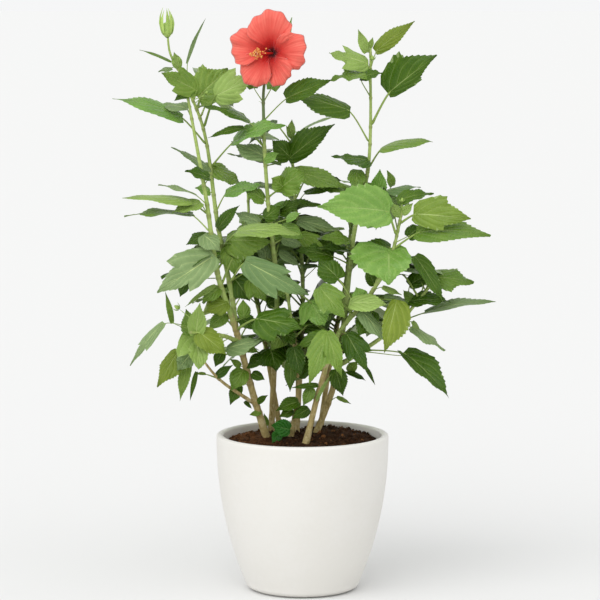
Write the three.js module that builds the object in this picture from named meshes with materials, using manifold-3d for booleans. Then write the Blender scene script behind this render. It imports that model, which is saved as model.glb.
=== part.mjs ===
import * as THREE from "three";
import { mergeVertices } from "three/addons/utils/BufferGeometryUtils.js";
import Module from "manifold-3d";

const wasm = await Module();
wasm.setup();

// A hibiscus shrub in a plain tapered pot, in millimetres, with +Z up.
// The origin is the middle of the pot's flat underside, and -Y faces the viewer.
// Directions are compass angles in degrees: 0 is +X, 90 is +Y, away from the viewer.

// Pot and soil
const potHeight = 200;
const potRimRadius = 110;
const potFootRadius = 58;
const potNarrowing = 40.5;
const potCurvePower = 2.2;
const potEdgeHeight = 9;
const potWall = 9;
const potFloor = 12;
const potLip = 3;
const potSides = 28;
const potOuterSteps = 5;
const potInnerSteps = 3;
const soilTop = 185;
const soilEdgeDrop = 3;
const soilEdgeWidth = 10;

// Fits
const gap = 0.4;
const limbClearance = 0.8;
const massClearance = 1.2;
const massSmoothing = 0.35;

// Limbs
const limbSides = 6;
const limbStep = 60;
const flareHeight = 14;
const flareGain = 0.45;

// Leaves of the masses
const lobeThickness = 10;
const lobeWidest = 0.42;
const lobeArch = 0.1;
const lobeStart = 0.5;
const rollStep = 47;
const rollRange = 22;

// Bloom
const bloomCentre = [-38, -34, 687];
const bloomTurn = -16;
const bloomLift = 4;
const bloomThroatRadius = 6;
const bloomThroatDepth = 17;
const petalSpan = 50;
const petalBendRadius = 20;
const petalBendDepth = 3;
const petalThickness = 3.4;
const petalReaches = [
  { angle: 80, reach: 51 },
  { angle: 152, reach: 52 },
  { angle: 228, reach: 47 },
  { angle: 296, reach: 42 },
  { angle: 8, reach: 46 },
];
const petalSharpness = 0.35;
const columnLength = 46;
const columnLean = [-9, -3];
const columnRadii = [1.4, 4.6];
const calyxLength = 11;
const calyxRadii = [7, 4];
const budFoot = [-170, 25, 701];
const budTip = [-174, 25, 741];
const budBreadth = 18;
const bloomSides = 25;

// Stems and boughs: each runs along a curve through a few points, foot first,
// and tapers evenly between its two radii.
const limbs = [
  {
    name: "left_stem",
    path: [
      [-45, 30, soilTop], [-64, 18, 250], [-85, 0, 334],
      [-107, -12, 404], [-121, -20, 500], [-144, -10, 628],
    ],
    radii: [5.6, 1.7],
    flare: true,
    wood: "old",
  },
  {
    name: "bloom_stem",
    path: [
      [-41, 60, soilTop], [-37, 50, 274], [-33, 30, 381],
      [-44, 10, 498], [-49, -8, 600], [-47, 0, 650], behindBloom(20), behindBloom(7),
    ],
    radii: [4.6, 1.5],
    flare: true,
    wood: "young",
  },
  {
    name: "centre_stem",
    path: [[-16, 35, soilTop], [-6, 25, 246], [-10, 10, 313], [-20, -5, 385]],
    radii: [3.6, 1.8],
    flare: true,
    wood: "old",
  },
  {
    name: "centre_back_stem",
    path: [[-8, 54, soilTop], [-2, 64, 290], [0, 72, 400], [-10, 77, 500], [-15, 78, 590]],
    radii: [3.6, 1.4],
    flare: true,
    wood: "young",
  },
  {
    name: "right_stem",
    path: [
      [4, 8, soilTop], [24, 2, 265], [45, -8, 328],
      [86, -24, 382], [111, -34, 431], [126, -36, 494],
    ],
    radii: [4.6, 1.7],
    flare: true,
    wood: "old",
  },
  {
    name: "tall_right_stem",
    path: [
      [15, 50, soilTop], [40, 50, 253], [54, 50, 340],
      [66, 43, 450], [84, 30, 540], [86, 10, 696],
    ],
    radii: [4.9, 1.4],
    flare: true,
    wood: "old",
  },
  {
    name: "back_left_stem",
    path: [[-28, 76, soilTop], [-48, 92, 300], [-66, 112, 400], [-72, 124, 505]],
    radii: [3.8, 1.6],
    flare: true,
    wood: "old",
  },
  {
    name: "back_right_stem",
    path: [[22, 74, soilTop], [38, 96, 290], [58, 122, 390], [66, 136, 490]],
    radii: [3.8, 1.6],
    flare: true,
    wood: "old",
  },
  {
    name: "bud_bough",
    path: [
      [-84, 1, 330], [-91, 12, 380], [-108, 22, 465],
      [-127, 30, 590], [-153, 28, 661], [-171, 25, 706],
    ],
    radii: [3.6, 1.3],
    wood: "young",
  },
  {
    name: "far_right_bough",
    path: [[46, 50, 280], [80, 34, 304], [120, 10, 338], [160, -10, 388]],
    radii: [3.4, 1.6],
    wood: "young",
  },
  {
    name: "low_left_bough",
    path: [[-80, 4, 318], [-104, -28, 330], [-140, -64, 338]],
    radii: [2.8, 1.6],
    wood: "young",
  },
  {
    name: "left_twig_bough",
    path: [[-60, 21, 234], [-106, -20, 273], [-126, -38, 300]],
    radii: [2.6, 1.4],
    wood: "old",
  },
];

// Masses of leaves: a knobbly middle round a limb, with leaf-shaped lobes.
// A lobe is given by its direction, its rise in degrees, its reach from the middle
// and its breadth.
const masses = [
  {
    name: "bloom_leaves",
    middle: [-49, -8, 610],
    size: [13, 14, 18],
    lobes: [[-26, 25, 102, 42], [180, 38, 40, 16], [41, -16, 60, 30], [110, 20, 62, 36]],
  },
  {
    name: "left_top_leaves",
    middle: [-143, 10, 632],
    size: [20, 30, 22],
    lobes: [
      [-41, 73, 98, 16], [171, 40, 85, 18], [-120, 25, 70, 46],
      [50, 25, 76, 46], [112, -7, 80, 42],
    ],
  },
  {
    name: "left_shoulder_leaves",
    middle: [-136, -14, 588],
    size: [22, 22, 20],
    lobes: [
      [-163, 22, 112, 46], [-40, 25, 98, 58], [-16, 44, 92, 44],
      [142, 31, 70, 40], [96, 4, 100, 42],
    ],
  },
  {
    name: "left_upper_leaves",
    middle: [-128, -16, 548],
    size: [22, 24, 20],
    lobes: [
      [-23, 21, 123, 50], [-122, 18, 70, 40], [81, 20, 72, 44],
      [25, -24, 66, 40], [170, -12, 58, 32],
    ],
  },
  {
    name: "left_middle_leaves",
    middle: [-121, -18, 503],
    size: [22, 24, 20],
    lobes: [
      [-168, 1, 107, 42], [143, 10, 81, 40], [-36, 13, 91, 44],
      [111, 19, 92, 44], [73, -17, 96, 42],
    ],
  },
  {
    name: "left_inner_leaves",
    middle: [-112, -18, 463],
    size: [22, 24, 20],
    lobes: [
      [-174, 9, 113, 30], [-129, 18, 84, 44], [-40, 1, 138, 50],
      [-4, 13, 62, 40], [118, -14, 104, 46],
    ],
  },
  {
    name: "left_lobed_leaves",
    middle: [-106, -14, 421],
    size: [22, 24, 20],
    lobes: [
      [-148, -4, 86, 58], [-157, -27, 88, 46], [168, -48, 96, 28],
      [-122, -38, 86, 28], [113, -4, 104, 50],
    ],
  },
  {
    name: "left_centre_leaves",
    middle: [-89, 6, 375],
    size: [22, 26, 22],
    lobes: [
      [-40, 9, 123, 62], [-62, 8, 88, 54], [-29, 50, 92, 48],
      [69, -12, 62, 48], [114, -28, 88, 46],
    ],
  },
  {
    name: "low_left_leaves",
    middle: [-134, -58, 337],
    size: [18, 20, 18],
    lobes: [
      [-158, -24, 94, 34], [172, -12, 62, 28], [-148, -54, 86, 44],
      [-112, -74, 88, 36], [-79, -35, 66, 48], [12, -36, 60, 46], [-77, 51, 54, 40],
    ],
  },
  {
    name: "left_twig_leaves",
    middle: [-116, -29, 288],
    size: [14, 14, 12],
    lobes: [
      [-30, -58, 52, 30], [26, -31, 50, 32], [162, -28, 34, 24],
      [90, -10, 52, 34], [122, -44, 60, 30],
    ],
  },
  {
    name: "centre_low_leaves",
    middle: [-14, 4, 340],
    size: [22, 24, 22],
    lobes: [
      [-130, -28, 94, 44], [-82, -50, 82, 40], [-148, -2, 72, 36],
      [-92, 3, 88, 54], [-60, 8, 86, 50], [105, 12, 60, 46],
    ],
  },
  {
    name: "centre_leaves",
    middle: [-33, 27, 402],
    size: [20, 22, 24],
    lobes: [
      [-105, -19, 76, 48], [47, -36, 62, 46], [20, 28, 60, 44],
      [137, 17, 62, 44], [-83, 21, 95, 46],
    ],
  },
  {
    name: "centre_middle_leaves",
    middle: [-42, 14, 468],
    size: [20, 22, 22],
    lobes: [
      [-60, 4, 84, 46], [0, 10, 68, 42], [75, 6, 80, 46],
      [160, -12, 52, 34], [-118, -10, 74, 44],
    ],
  },
  {
    name: "centre_upper_leaves",
    middle: [-47, 2, 534],
    size: [18, 20, 22],
    lobes: [
      [-55, 11, 80, 46], [168, 26, 46, 30], [-85, -17, 86, 48],
      [41, -20, 66, 44], [110, -18, 74, 44],
    ],
  },
  {
    name: "centre_top_leaves",
    middle: [-15, 78, 562],
    size: [18, 20, 20],
    lobes: [
      [-89, 78, 40, 20], [-48, 13, 70, 48], [-10, 26, 72, 40],
      [-160, 6, 62, 42], [91, -4, 92, 46], [40, -10, 74, 42],
    ],
  },
  {
    name: "right_top_leaves",
    middle: [86, 15, 656],
    size: [14, 16, 20],
    lobes: [
      [-24, 49, 91, 36], [-150, 30, 72, 34], [-136, 12, 72, 28],
      [174, -9, 54, 40], [64, 16, 70, 40], [20, -12, 54, 34],
    ],
  },
  {
    name: "right_shoulder_leaves",
    middle: [87, 21, 603],
    size: [16, 18, 20],
    lobes: [
      [-24, 34, 107, 64], [-16, -23, 87, 30], [-157, 15, 113, 44],
      [81, 6, 84, 46], [144, -4, 66, 38],
    ],
  },
  {
    name: "right_upper_leaves",
    middle: [84, 30, 548],
    size: [20, 22, 20],
    lobes: [
      [-132, 9, 78, 46], [-100, -2, 98, 42], [-43, -19, 92, 38],
      [12, 4, 60, 38], [58, -5, 80, 46], [116, 6, 78, 46],
    ],
  },
  {
    name: "right_middle_leaves",
    middle: [74, 37, 500],
    size: [22, 24, 20],
    lobes: [
      [-113, -1, 128, 74], [150, 2, 62, 46], [14, -12, 72, 44],
      [96, 4, 78, 46], [-62, 14, 74, 42],
    ],
  },
  {
    name: "right_leaves",
    middle: [120, -36, 466],
    size: [18, 20, 18],
    lobes: [
      [-15, 10, 92, 58], [3, -4, 117, 44], [-104, -39, 97, 72],
      [53, -3, 96, 48], [60, 48, 48, 30], [40, -20, 100, 40], [172, -12, 60, 40],
    ],
  },
  {
    name: "right_inner_leaves",
    middle: [64, 44, 438],
    size: [22, 24, 24],
    lobes: [[-84, -8, 84, 50], [20, 4, 74, 44], [100, 6, 82, 48], [172, -14, 66, 44]],
  },
  {
    name: "far_right_leaves",
    middle: [149, -4, 374],
    size: [16, 18, 18],
    lobes: [
      [20, 18, 78, 44], [-16, -1, 97, 34], [-62, 4, 72, 42],
      [63, 28, 88, 46], [92, -30, 84, 46],
    ],
  },
  {
    name: "right_centre_leaves",
    middle: [60, -14, 346],
    size: [20, 22, 20],
    lobes: [
      [-140, 34, 80, 50], [-44, 22, 76, 48], [-116, -29, 130, 58],
      [-92, -33, 112, 46], [-138, -8, 112, 46], [-44, -44, 66, 42],
    ],
  },
  {
    name: "right_hanging_leaves",
    middle: [116, 12, 335],
    size: [16, 18, 16],
    lobes: [
      [-106, -15, 84, 48], [-12, -28, 76, 46], [-42, -42, 118, 44],
      [63, -18, 86, 46], [-70, 22, 66, 44],
    ],
  },
  {
    name: "right_low_leaves",
    middle: [48, 50, 268],
    size: [16, 18, 16],
    lobes: [
      [-62, -2, 66, 28], [-24, -13, 58, 26], [-98, -16, 78, 34],
      [56, 4, 76, 42], [120, 10, 66, 40],
    ],
  },
  {
    name: "low_middle_leaves",
    middle: [-39, 56, 234],
    size: [12, 14, 14],
    lobes: [
      [-46, 14, 58, 26], [-20, 2, 74, 28], [-130, 14, 44, 28],
      [-95, -14, 68, 32], [120, 6, 52, 34],
    ],
  },
  {
    name: "back_left_top_leaves",
    middle: [-72, 122, 494],
    size: [22, 22, 22],
    lobes: [
      [100, 10, 84, 48], [38, 12, 80, 46], [164, 6, 84, 46],
      [-142, 22, 62, 42], [72, 52, 56, 40],
    ],
  },
  {
    name: "back_left_leaves",
    middle: [-60, 106, 376],
    size: [24, 24, 26],
    lobes: [
      [118, -4, 90, 50], [56, -10, 86, 48], [172, -8, 92, 48],
      [-8, 2, 62, 42], [88, 34, 78, 44],
    ],
  },
  {
    name: "back_right_top_leaves",
    middle: [66, 134, 480],
    size: [22, 22, 22],
    lobes: [
      [62, 8, 86, 48], [118, 12, 84, 46], [4, 4, 88, 46],
      [176, 14, 62, 42], [92, 50, 58, 40],
    ],
  },
  {
    name: "back_right_leaves",
    middle: [52, 114, 366],
    size: [24, 24, 26],
    lobes: [
      [58, -8, 90, 50], [112, -6, 84, 48], [2, -10, 92, 48],
      [164, 4, 62, 42], [84, 32, 76, 44],
    ],
  },
  {
    name: "back_low_leaves",
    middle: [-44, 88, 292],
    size: [18, 18, 18],
    lobes: [[150, -10, 78, 42], [98, -14, 74, 42], [40, -8, 70, 40], [-166, -6, 70, 38]],
  },
];

const finishes = {
  pot: { color: 0xf2f1ec, roughness: 0.35 },
  soil: { color: 0x4a3122, roughness: 0.95 },
  old: { color: 0xa58a63, roughness: 0.85 },
  young: { color: 0x7fa154, roughness: 0.6 },
  leaf: { color: 0x4f8c3c, roughness: 0.5 },
  petal: { color: 0xee5a4e, roughness: 0.6 },
  column: { color: 0xe9a13b, roughness: 0.8 },
  bud: { color: 0x8fb45c, roughness: 0.6 },
};

const shrub = new THREE.Group();
shrub.name = "hibiscus_shrub";

function radians(degrees) {
  return (degrees * Math.PI) / 180;
}

function vector(values) {
  return new THREE.Vector3(...values);
}

// The unit vector of a compass direction and a rise, both in degrees.
function heading(compass, rise) {
  const level = Math.cos(radians(rise));
  return new THREE.Vector3(
    level * Math.cos(radians(compass)),
    level * Math.sin(radians(compass)),
    Math.sin(radians(rise)),
  );
}

function toSolid(geometry) {
  const bare = geometry.clone();
  bare.deleteAttribute("normal");
  bare.deleteAttribute("uv");
  const merged = mergeVertices(bare, 1e-4);
  const mesh = new wasm.Mesh({
    numProp: 3,
    vertProperties: new Float32Array(merged.attributes.position.array),
    triVerts: new Uint32Array(merged.index.array),
  });
  return new wasm.Manifold(mesh);
}

function toGeometry(solid) {
  const mesh = solid.getMesh();
  const geometry = new THREE.BufferGeometry();
  geometry.setAttribute("position", new THREE.BufferAttribute(mesh.vertProperties, 3));
  geometry.setIndex(new THREE.BufferAttribute(mesh.triVerts, 1));
  return geometry;
}

function largestPiece(solid) {
  const pieces = solid.decompose();
  pieces.sort((first, second) => second.volume() - first.volume());
  return pieces[0];
}

function addPart(name, solid, finish) {
  const material = new THREE.MeshStandardMaterial({ ...finish, metalness: 0 });
  const geometry = toGeometry(solid);
  geometry.computeVertexNormals();
  const mesh = new THREE.Mesh(geometry, material);
  mesh.name = name;
  shrub.add(mesh);
}

// Lays a closed upright form along a curve: its height is the way along the curve,
// and its two cross directions are scaled by half the breadth and half the thickness there.
function layAlong(form, lowest, highest, curve, sideways, halfBreadth, halfThickness) {
  const place = form.attributes.position;
  for (let i = 0; i < place.count; i += 1) {
    const along = THREE.MathUtils.clamp((place.getY(i) - lowest) / (highest - lowest), 0, 1);
    const centre = curve.getPoint(along);
    const tangent = curve.getTangent(along);
    const across = sideways.clone().addScaledVector(tangent, -sideways.dot(tangent)).normalize();
    const through = new THREE.Vector3().crossVectors(across, tangent);
    centre.addScaledVector(across, place.getX(i) * halfBreadth(along));
    centre.addScaledVector(through, place.getZ(i) * halfThickness(along));
    place.setXYZ(i, centre.x, centre.y, centre.z);
  }
  return toSolid(form);
}

// Moves the last of a row of points outwards.
function lengthen(points, distance) {
  const [before, last] = points.slice(-2);
  last.addScaledVector(last.clone().sub(before).normalize(), distance);
}

// A round tapering limb with flat ends, swelling near the ground where it has a root flare.
function limbSolid(limb, growth) {
  const points = limb.path.map(vector);
  lengthen(points, growth);
  lengthen(points.reverse(), growth);
  points.reverse();
  const curve = new THREE.CatmullRomCurve3(points, false, "centripetal");
  const length = curve.getLength();
  const steps = Math.max(3, Math.round(length / limbStep));
  const [footRadius, tipRadius] = limb.radii;
  const radius = (along) => {
    const flare = limb.flare ? flareGain * Math.exp((-along * length) / flareHeight) : 0;
    return THREE.MathUtils.lerp(footRadius, tipRadius, along) * (1 + flare) + growth;
  };
  const form = new THREE.CylinderGeometry(1, 1, 1, limbSides, steps);
  const solid = layAlong(form, -0.5, 0.5, curve, new THREE.Vector3(1, 0, 0), radius, radius);
  return limb.flare ? solid.subtract(slabBelow(soilTop + gap)) : solid;
}

// A thick block whose flat top lies at the given height, for a level cut.
function slabBelow(height) {
  const block = new THREE.BoxGeometry(2 * potRimRadius, 2 * potRimRadius, potHeight);
  block.translate(0, 0, height - potHeight / 2);
  return toSolid(block);
}

// Moves the widest ring of a double point, which runs from -1 to 1, to another height.
function shiftGirdle(form, height) {
  const place = form.attributes.position;
  for (let i = 0; i < place.count; i += 1) {
    if (Math.abs(place.getY(i)) < 0.5) {
      place.setY(i, height);
    }
  }
}

// A pointed form from base to tip, flat like a leaf or round like a bud.
function spindleSolid(base, tip, breadth, thickness, roll, growth) {
  const middle = base.clone().lerp(tip, 0.5);
  middle.z += lobeArch * base.distanceTo(tip);
  const direction = tip.clone().sub(base).normalize();
  const start = base.clone().addScaledVector(direction, -growth);
  const end = tip.clone().addScaledVector(direction, growth);
  const curve = new THREE.QuadraticBezierCurve3(start, middle, end);
  const compass = Math.atan2(direction.y, direction.x);
  const sideways = new THREE.Vector3(-Math.sin(compass), Math.cos(compass), 0);
  sideways.applyAxisAngle(direction, radians(roll));
  const form = new THREE.SphereGeometry(1, 4, 2);
  shiftGirdle(form, 2 * lobeWidest - 1);
  return layAlong(
    form, -1, 1, curve, sideways,
    () => breadth / 2 + growth,
    () => thickness / 2 + growth,
  );
}

function massSolid(mass, growth) {
  const middle = vector(mass.middle);
  const core = new THREE.IcosahedronGeometry(1, 0);
  core.rotateZ(radians(mass.middle[2]));
  core.scale(mass.size[0] + growth, mass.size[1] + growth, mass.size[2] + growth);
  core.translate(middle.x, middle.y, middle.z);
  let solid = toSolid(core);
  mass.lobes.forEach(([compass, rise, reach, breadth], index) => {
    const direction = heading(compass, rise);
    const base = middle.clone().addScaledVector(direction, lobeStart * mass.size[0]);
    const tip = middle.clone().addScaledVector(direction, reach);
    const roll = rollRange * Math.sin(radians(rollStep * (index + 1) + mass.middle[2]));
    solid = solid.add(spindleSolid(base, tip, breadth, lobeThickness, roll, growth));
  });
  return solid;
}

// The pot's outside radius: widest at the rim, drawn in faster and faster towards the foot.
function potOutside(height) {
  const below = (potHeight - height) / potHeight;
  return potRimRadius - potNarrowing * below ** potCurvePower;
}

function evenSteps(from, to, steps) {
  return Array.from({ length: steps + 1 }, (_, i) => THREE.MathUtils.lerp(from, to, i / steps));
}

// The heights of the inner wall's corners, from the lip down to the floor.
function innerHeights() {
  return evenSteps(potHeight - potLip, potFloor, potInnerSteps);
}

// The inside radius between those corners, where the wall is straight.
function potInside(height) {
  const heights = innerHeights();
  const below = heights.findIndex((z) => z <= height);
  const above = Math.max(0, below - 1);
  const share = (height - heights[below]) / (heights[above] - heights[below] || 1);
  const [low, high] = [heights[below], heights[above]].map((z) => potOutside(z) - potWall);
  return THREE.MathUtils.lerp(low, high, share);
}

function turned(profile) {
  const points = profile.map(([radius, height]) => new THREE.Vector2(radius, height));
  const form = new THREE.LatheGeometry(points, potSides);
  form.rotateX(Math.PI / 2);
  return toSolid(form);
}

function makePot() {
  addPart("pot", turned([
    [0, 0],
    [potFootRadius, 0],
    [potOutside(potEdgeHeight) - potLip, potEdgeHeight / 3],
    ...evenSteps(potEdgeHeight, potHeight - potLip, potOuterSteps).map((z) => [potOutside(z), z]),
    [potRimRadius - potLip, potHeight],
    [potRimRadius - potWall + potLip, potHeight],
    ...innerHeights().map((z) => [potInside(z), z]),
    [0, potFloor],
  ]), finishes.pot);
}

function makeSoil() {
  const sideTop = soilTop - soilEdgeDrop;
  const sideHeights = [
    potFloor + gap, ...innerHeights().reverse().filter((z) => z > potFloor && z < sideTop), sideTop,
  ];
  addPart("soil", turned([
    [0, potFloor + gap],
    ...sideHeights.map((z) => [potInside(z) - 2 * gap, z]),
    [potInside(sideTop) - soilEdgeWidth, soilTop],
    [0, soilTop],
  ]), finishes.soil);
}

// Each limb is cut clear of the limbs before it, so a bough ends beside the stem it grows from.
function makeLimbs() {
  const cutters = [];
  limbs.forEach((limb) => {
    let solid = limbSolid(limb, 0);
    cutters.forEach((cutter) => {
      solid = solid.subtract(cutter);
    });
    addPart(limb.name, largestPiece(solid), finishes[limb.wood]);
    cutters.push(limbSolid(limb, gap));
  });
  return cutters;
}

// Places a point of the bloom, given by its height along the axis and its place across the face.
function bloomPlace(right, up, out) {
  const point = new THREE.Vector3(right, -out, up);
  point.applyAxisAngle(new THREE.Vector3(1, 0, 0), radians(-bloomLift));
  point.applyAxisAngle(new THREE.Vector3(0, 0, 1), radians(bloomTurn));
  return point.add(vector(bloomCentre));
}

// A point on the bloom's axis, at a distance behind the back of its throat.
function behindBloom(distance) {
  return bloomPlace(0, 0, -(bloomThroatDepth + petalThickness + distance)).toArray();
}

// How far the petals reach at an angle of the face: the longest of the five rounded petals there.
function petalReachAt(angle) {
  const reaches = petalReaches.map((petal) => {
    const turn = radians(angle - petal.angle);
    const facing = Math.max(0.05, Math.cos(turn));
    return petal.reach * facing ** petalSharpness;
  });
  return Math.max(...reaches);
}

function makeBloom() {
  const profile = [
    [0, -bloomThroatDepth],
    [bloomThroatRadius, -bloomThroatDepth],
    [petalBendRadius, -petalBendDepth],
    [0.7 * petalSpan, petalBendDepth],
    [petalSpan, 0.7 * petalBendDepth],
    [0.98 * petalSpan, 0.7 * petalBendDepth - petalThickness],
    [petalBendRadius, -petalBendDepth - petalThickness],
    [bloomThroatRadius, -bloomThroatDepth - petalThickness],
    [0, -bloomThroatDepth - petalThickness],
  ].reverse();
  const form = new THREE.LatheGeometry(
    profile.map(([radius, out]) => new THREE.Vector2(radius, out)), bloomSides,
  );
  const place = form.attributes.position;
  for (let i = 0; i < place.count; i += 1) {
    const across = new THREE.Vector2(place.getX(i), -place.getZ(i));
    const radius = across.length();
    const angle = (Math.atan2(across.y, across.x) * 180) / Math.PI;
    const spread = THREE.MathUtils.smoothstep(radius, bloomThroatRadius, 0.7 * petalSpan);
    const scale = THREE.MathUtils.lerp(1, petalReachAt(angle) / petalSpan, spread);
    const point = bloomPlace(across.x * scale, across.y * scale, place.getY(i));
    place.setXYZ(i, point.x, point.y, point.z);
  }
  return toSolid(form);
}

function cutterOf(limbCutters, name) {
  return limbCutters[limbs.findIndex((limb) => limb.name === name)];
}

function makeFlowerParts(limbCutters) {
  const petals = makeBloom();
  addPart("bloom_petals", petals, finishes.petal);

  const root = bloomPlace(0, 0, -bloomThroatDepth + gap);
  const end = bloomPlace(columnLean[0], columnLean[1], columnLength - bloomThroatDepth);
  const bend = root.clone().lerp(end, 0.5);
  const column = { path: [root, bend, end].map((p) => p.toArray()), radii: columnRadii };
  addPart("bloom_column", limbSolid(column, 0), finishes.column);

  const calyx = {
    path: [behindBloom(gap), behindBloom(calyxLength / 2), behindBloom(calyxLength)],
    radii: calyxRadii,
  };
  const stalkCutter = cutterOf(limbCutters, "bloom_stem");
  addPart("bloom_calyx", largestPiece(limbSolid(calyx, 0).subtract(stalkCutter)), finishes.bud);

  const budSolid = (growth) =>
    spindleSolid(vector(budFoot), vector(budTip), budBreadth, budBreadth, 0, growth);
  const boughCutter = cutterOf(limbCutters, "bud_bough");
  addPart("bud", largestPiece(budSolid(0).subtract(boughCutter)), finishes.bud);

  return [petals, limbSolid(calyx, gap), budSolid(gap)];
}

// Each mass is cut round the limbs and flowers, and clear of the masses before it.
function makeMasses(cutters) {
  masses.forEach((mass) => {
    let solid = massSolid(mass, 0);
    cutters.forEach((cutter) => {
      solid = solid.subtract(cutter);
    });
    addPart(mass.name, largestPiece(solid).simplify(massSmoothing), finishes.leaf);
    cutters.push(massSolid(mass, massClearance).simplify(massSmoothing));
  });
}

makePot();
makeSoil();
const limbCutters = makeLimbs();
const flowerCutters = makeFlowerParts(limbCutters);
makeMasses([...limbs.map((limb) => limbSolid(limb, limbClearance)), ...flowerCutters]);

export default shrub;
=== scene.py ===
from collections import namedtuple
from types import SimpleNamespace

import bpy
import numpy as np
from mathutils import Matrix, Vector


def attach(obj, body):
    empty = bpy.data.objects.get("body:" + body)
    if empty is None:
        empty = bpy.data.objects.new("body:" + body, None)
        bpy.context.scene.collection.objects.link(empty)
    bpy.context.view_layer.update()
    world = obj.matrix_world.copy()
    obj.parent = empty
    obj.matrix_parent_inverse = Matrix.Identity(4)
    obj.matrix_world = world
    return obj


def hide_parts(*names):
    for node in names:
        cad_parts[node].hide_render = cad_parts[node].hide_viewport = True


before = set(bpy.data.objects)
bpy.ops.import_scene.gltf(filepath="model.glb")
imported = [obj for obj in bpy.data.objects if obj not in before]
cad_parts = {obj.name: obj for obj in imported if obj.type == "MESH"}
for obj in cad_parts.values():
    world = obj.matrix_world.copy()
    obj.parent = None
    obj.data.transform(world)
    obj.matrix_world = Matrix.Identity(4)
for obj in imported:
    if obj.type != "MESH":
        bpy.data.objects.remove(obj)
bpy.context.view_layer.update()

# A hibiscus shrub in a white pot. Sizes are in millimetres here and become metres in the
# meshes. The origin is the middle of the pot's underside, and -Y faces the viewer.
metre = 0.001
upward = np.array([0.0, 0.0, 1.0])
backward = np.array([0.0, 1.0, 0.0])
turn = 2 * np.pi


# Camera, worked out in the photograph's frame of 600 by 600 pixels
photoCamera = {
    "place": np.array([-3.2, -3300.0, 740.0]),
    "pitch": 6.37,  # degrees that it looks down
    "lens": 156.66,
    "sensor": 36.0,
    "frame": 600,
    "furthest": 3000,  # metres that it sees
}
cameraPitch = np.radians(photoCamera["pitch"])
cameraForward = np.array([0.0, np.cos(cameraPitch), -np.sin(cameraPitch)])
cameraUp = np.array([0.0, np.sin(cameraPitch), np.cos(cameraPitch)])
focalPixels = photoCamera["lens"] / photoCamera["sensor"] * photoCamera["frame"]
towardViewer = -cameraForward


def makeCamera():
    camera = bpy.data.cameras.new("photo_camera")
    camera.lens = photoCamera["lens"]
    camera.sensor_width = photoCamera["sensor"]
    camera.sensor_fit = "HORIZONTAL"
    camera.clip_end = photoCamera["furthest"]
    holder = bpy.data.objects.new("photo_camera", camera)
    holder.location = photoCamera["place"] * metre
    holder.rotation_euler = (np.pi / 2 - cameraPitch, 0, 0)
    bpy.context.scene.collection.objects.link(holder)
    bpy.context.scene.camera = holder


def placeOfPixel(pixel, depth):
    # The ray through a pixel, met with the upright plane at that depth along Y.
    right, up = (np.array([pixel[0], pixel[1]]) - photoCamera["frame"] / 2) / focalPixels
    ray = cameraForward + right * np.array([1.0, 0, 0]) - up * cameraUp
    reach = (depth - photoCamera["place"][1]) / ray[1]
    return photoCamera["place"] + reach * ray


def pixelOfPlace(points):
    # The pixel of each point: its sideways and upward share of its distance ahead.
    offset = points - photoCamera["place"]
    ahead = offset @ cameraForward
    across = photoCamera["frame"] / 2 + focalPixels * offset[..., 0] / ahead
    down = photoCamera["frame"] / 2 - focalPixels * (offset @ cameraUp) / ahead
    return np.stack([across, down], -1)


makeCamera()
print("camera set")


# Helpers for arrays and meshes
def unit(vectors):
    # A vector divided by its own length.
    return vectors / np.maximum(np.linalg.norm(vectors, axis=-1, keepdims=True), 1e-9)


def smooth(value, low, high):
    # 0 below low, 1 above high, and 3t^2 - 2t^3 between them.
    share = np.clip((value - low) / (high - low), 0, 1)
    return share * share * (3 - 2 * share)


def ripple(points, size, seed, waves=7):
    # Soft unevenness from about -1 to 1: the mean of sine waves in random directions,
    # each about as long as size.
    draw = np.random.default_rng(seed)
    heading = unit(draw.normal(size=(waves, 3)))
    pace = turn / (size * draw.uniform(0.6, 1.6, waves))
    start = draw.uniform(0, turn, waves)
    return 1.6 * np.sin(points @ (heading.T * pace) + start).mean(-1)


def planOf(labels, flips):
    # One or more grids of corner labels, where corners with the same label are one vertex.
    # Neighbours are joined by quads, and a quad whose side has no length is a triangle.
    _, keep, number = np.unique(labels.ravel(), return_index=True, return_inverse=True)
    number = number.ravel()
    spots = np.arange(labels.size).reshape(labels.shape)
    cells = []
    for grid, flip in zip(spots, flips):
        corners = [grid[:-1, :-1], grid[:-1, 1:], grid[1:, 1:], grid[1:, :-1]]
        cell = np.stack(corners, -1).reshape(-1, 4)
        cells.append(cell[:, ::-1] if flip else cell)
    cells = np.concatenate(cells)
    meets = number[cells] == number[np.roll(cells, -1, axis=1)]
    quads = cells[~meets.any(1)]
    short = meets.sum(1) == 1
    triangles = cells[short][~meets[short]].reshape(-1, 3)
    return SimpleNamespace(keep=keep, number=number, quads=quads, triangles=triangles)


def tubePlan(rows, columns, turned=False):
    # A tube of rings, closed round, with its first and last ring drawn to a point. Turned,
    # its faces look the other way.
    labels = np.arange(rows * columns).reshape(1, rows, columns)
    labels[:, :, -1] = labels[:, :, 0]
    labels[:, 0] = labels[:, 0, :1]
    labels[:, -1] = labels[:, -1, :1]
    return planOf(labels, [turned])


def shellPlan(rows, columns, blunt=False):
    # A top and an underside that share their rim. The foot is drawn to a point, and so is
    # the tip, unless it is blunt, as a petal's is, whose faces also look the other way.
    top = np.arange(rows * columns).reshape(rows, columns)
    top[0] = top[0, 0]
    if not blunt:
        top[-1] = top[-1, 0]
    under = top + rows * columns
    under[0], under[-1] = top[0], top[-1]
    under[:, 0], under[:, -1] = top[:, 0], top[:, -1]
    return planOf(np.stack([top, under]), [blunt, not blunt])


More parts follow.
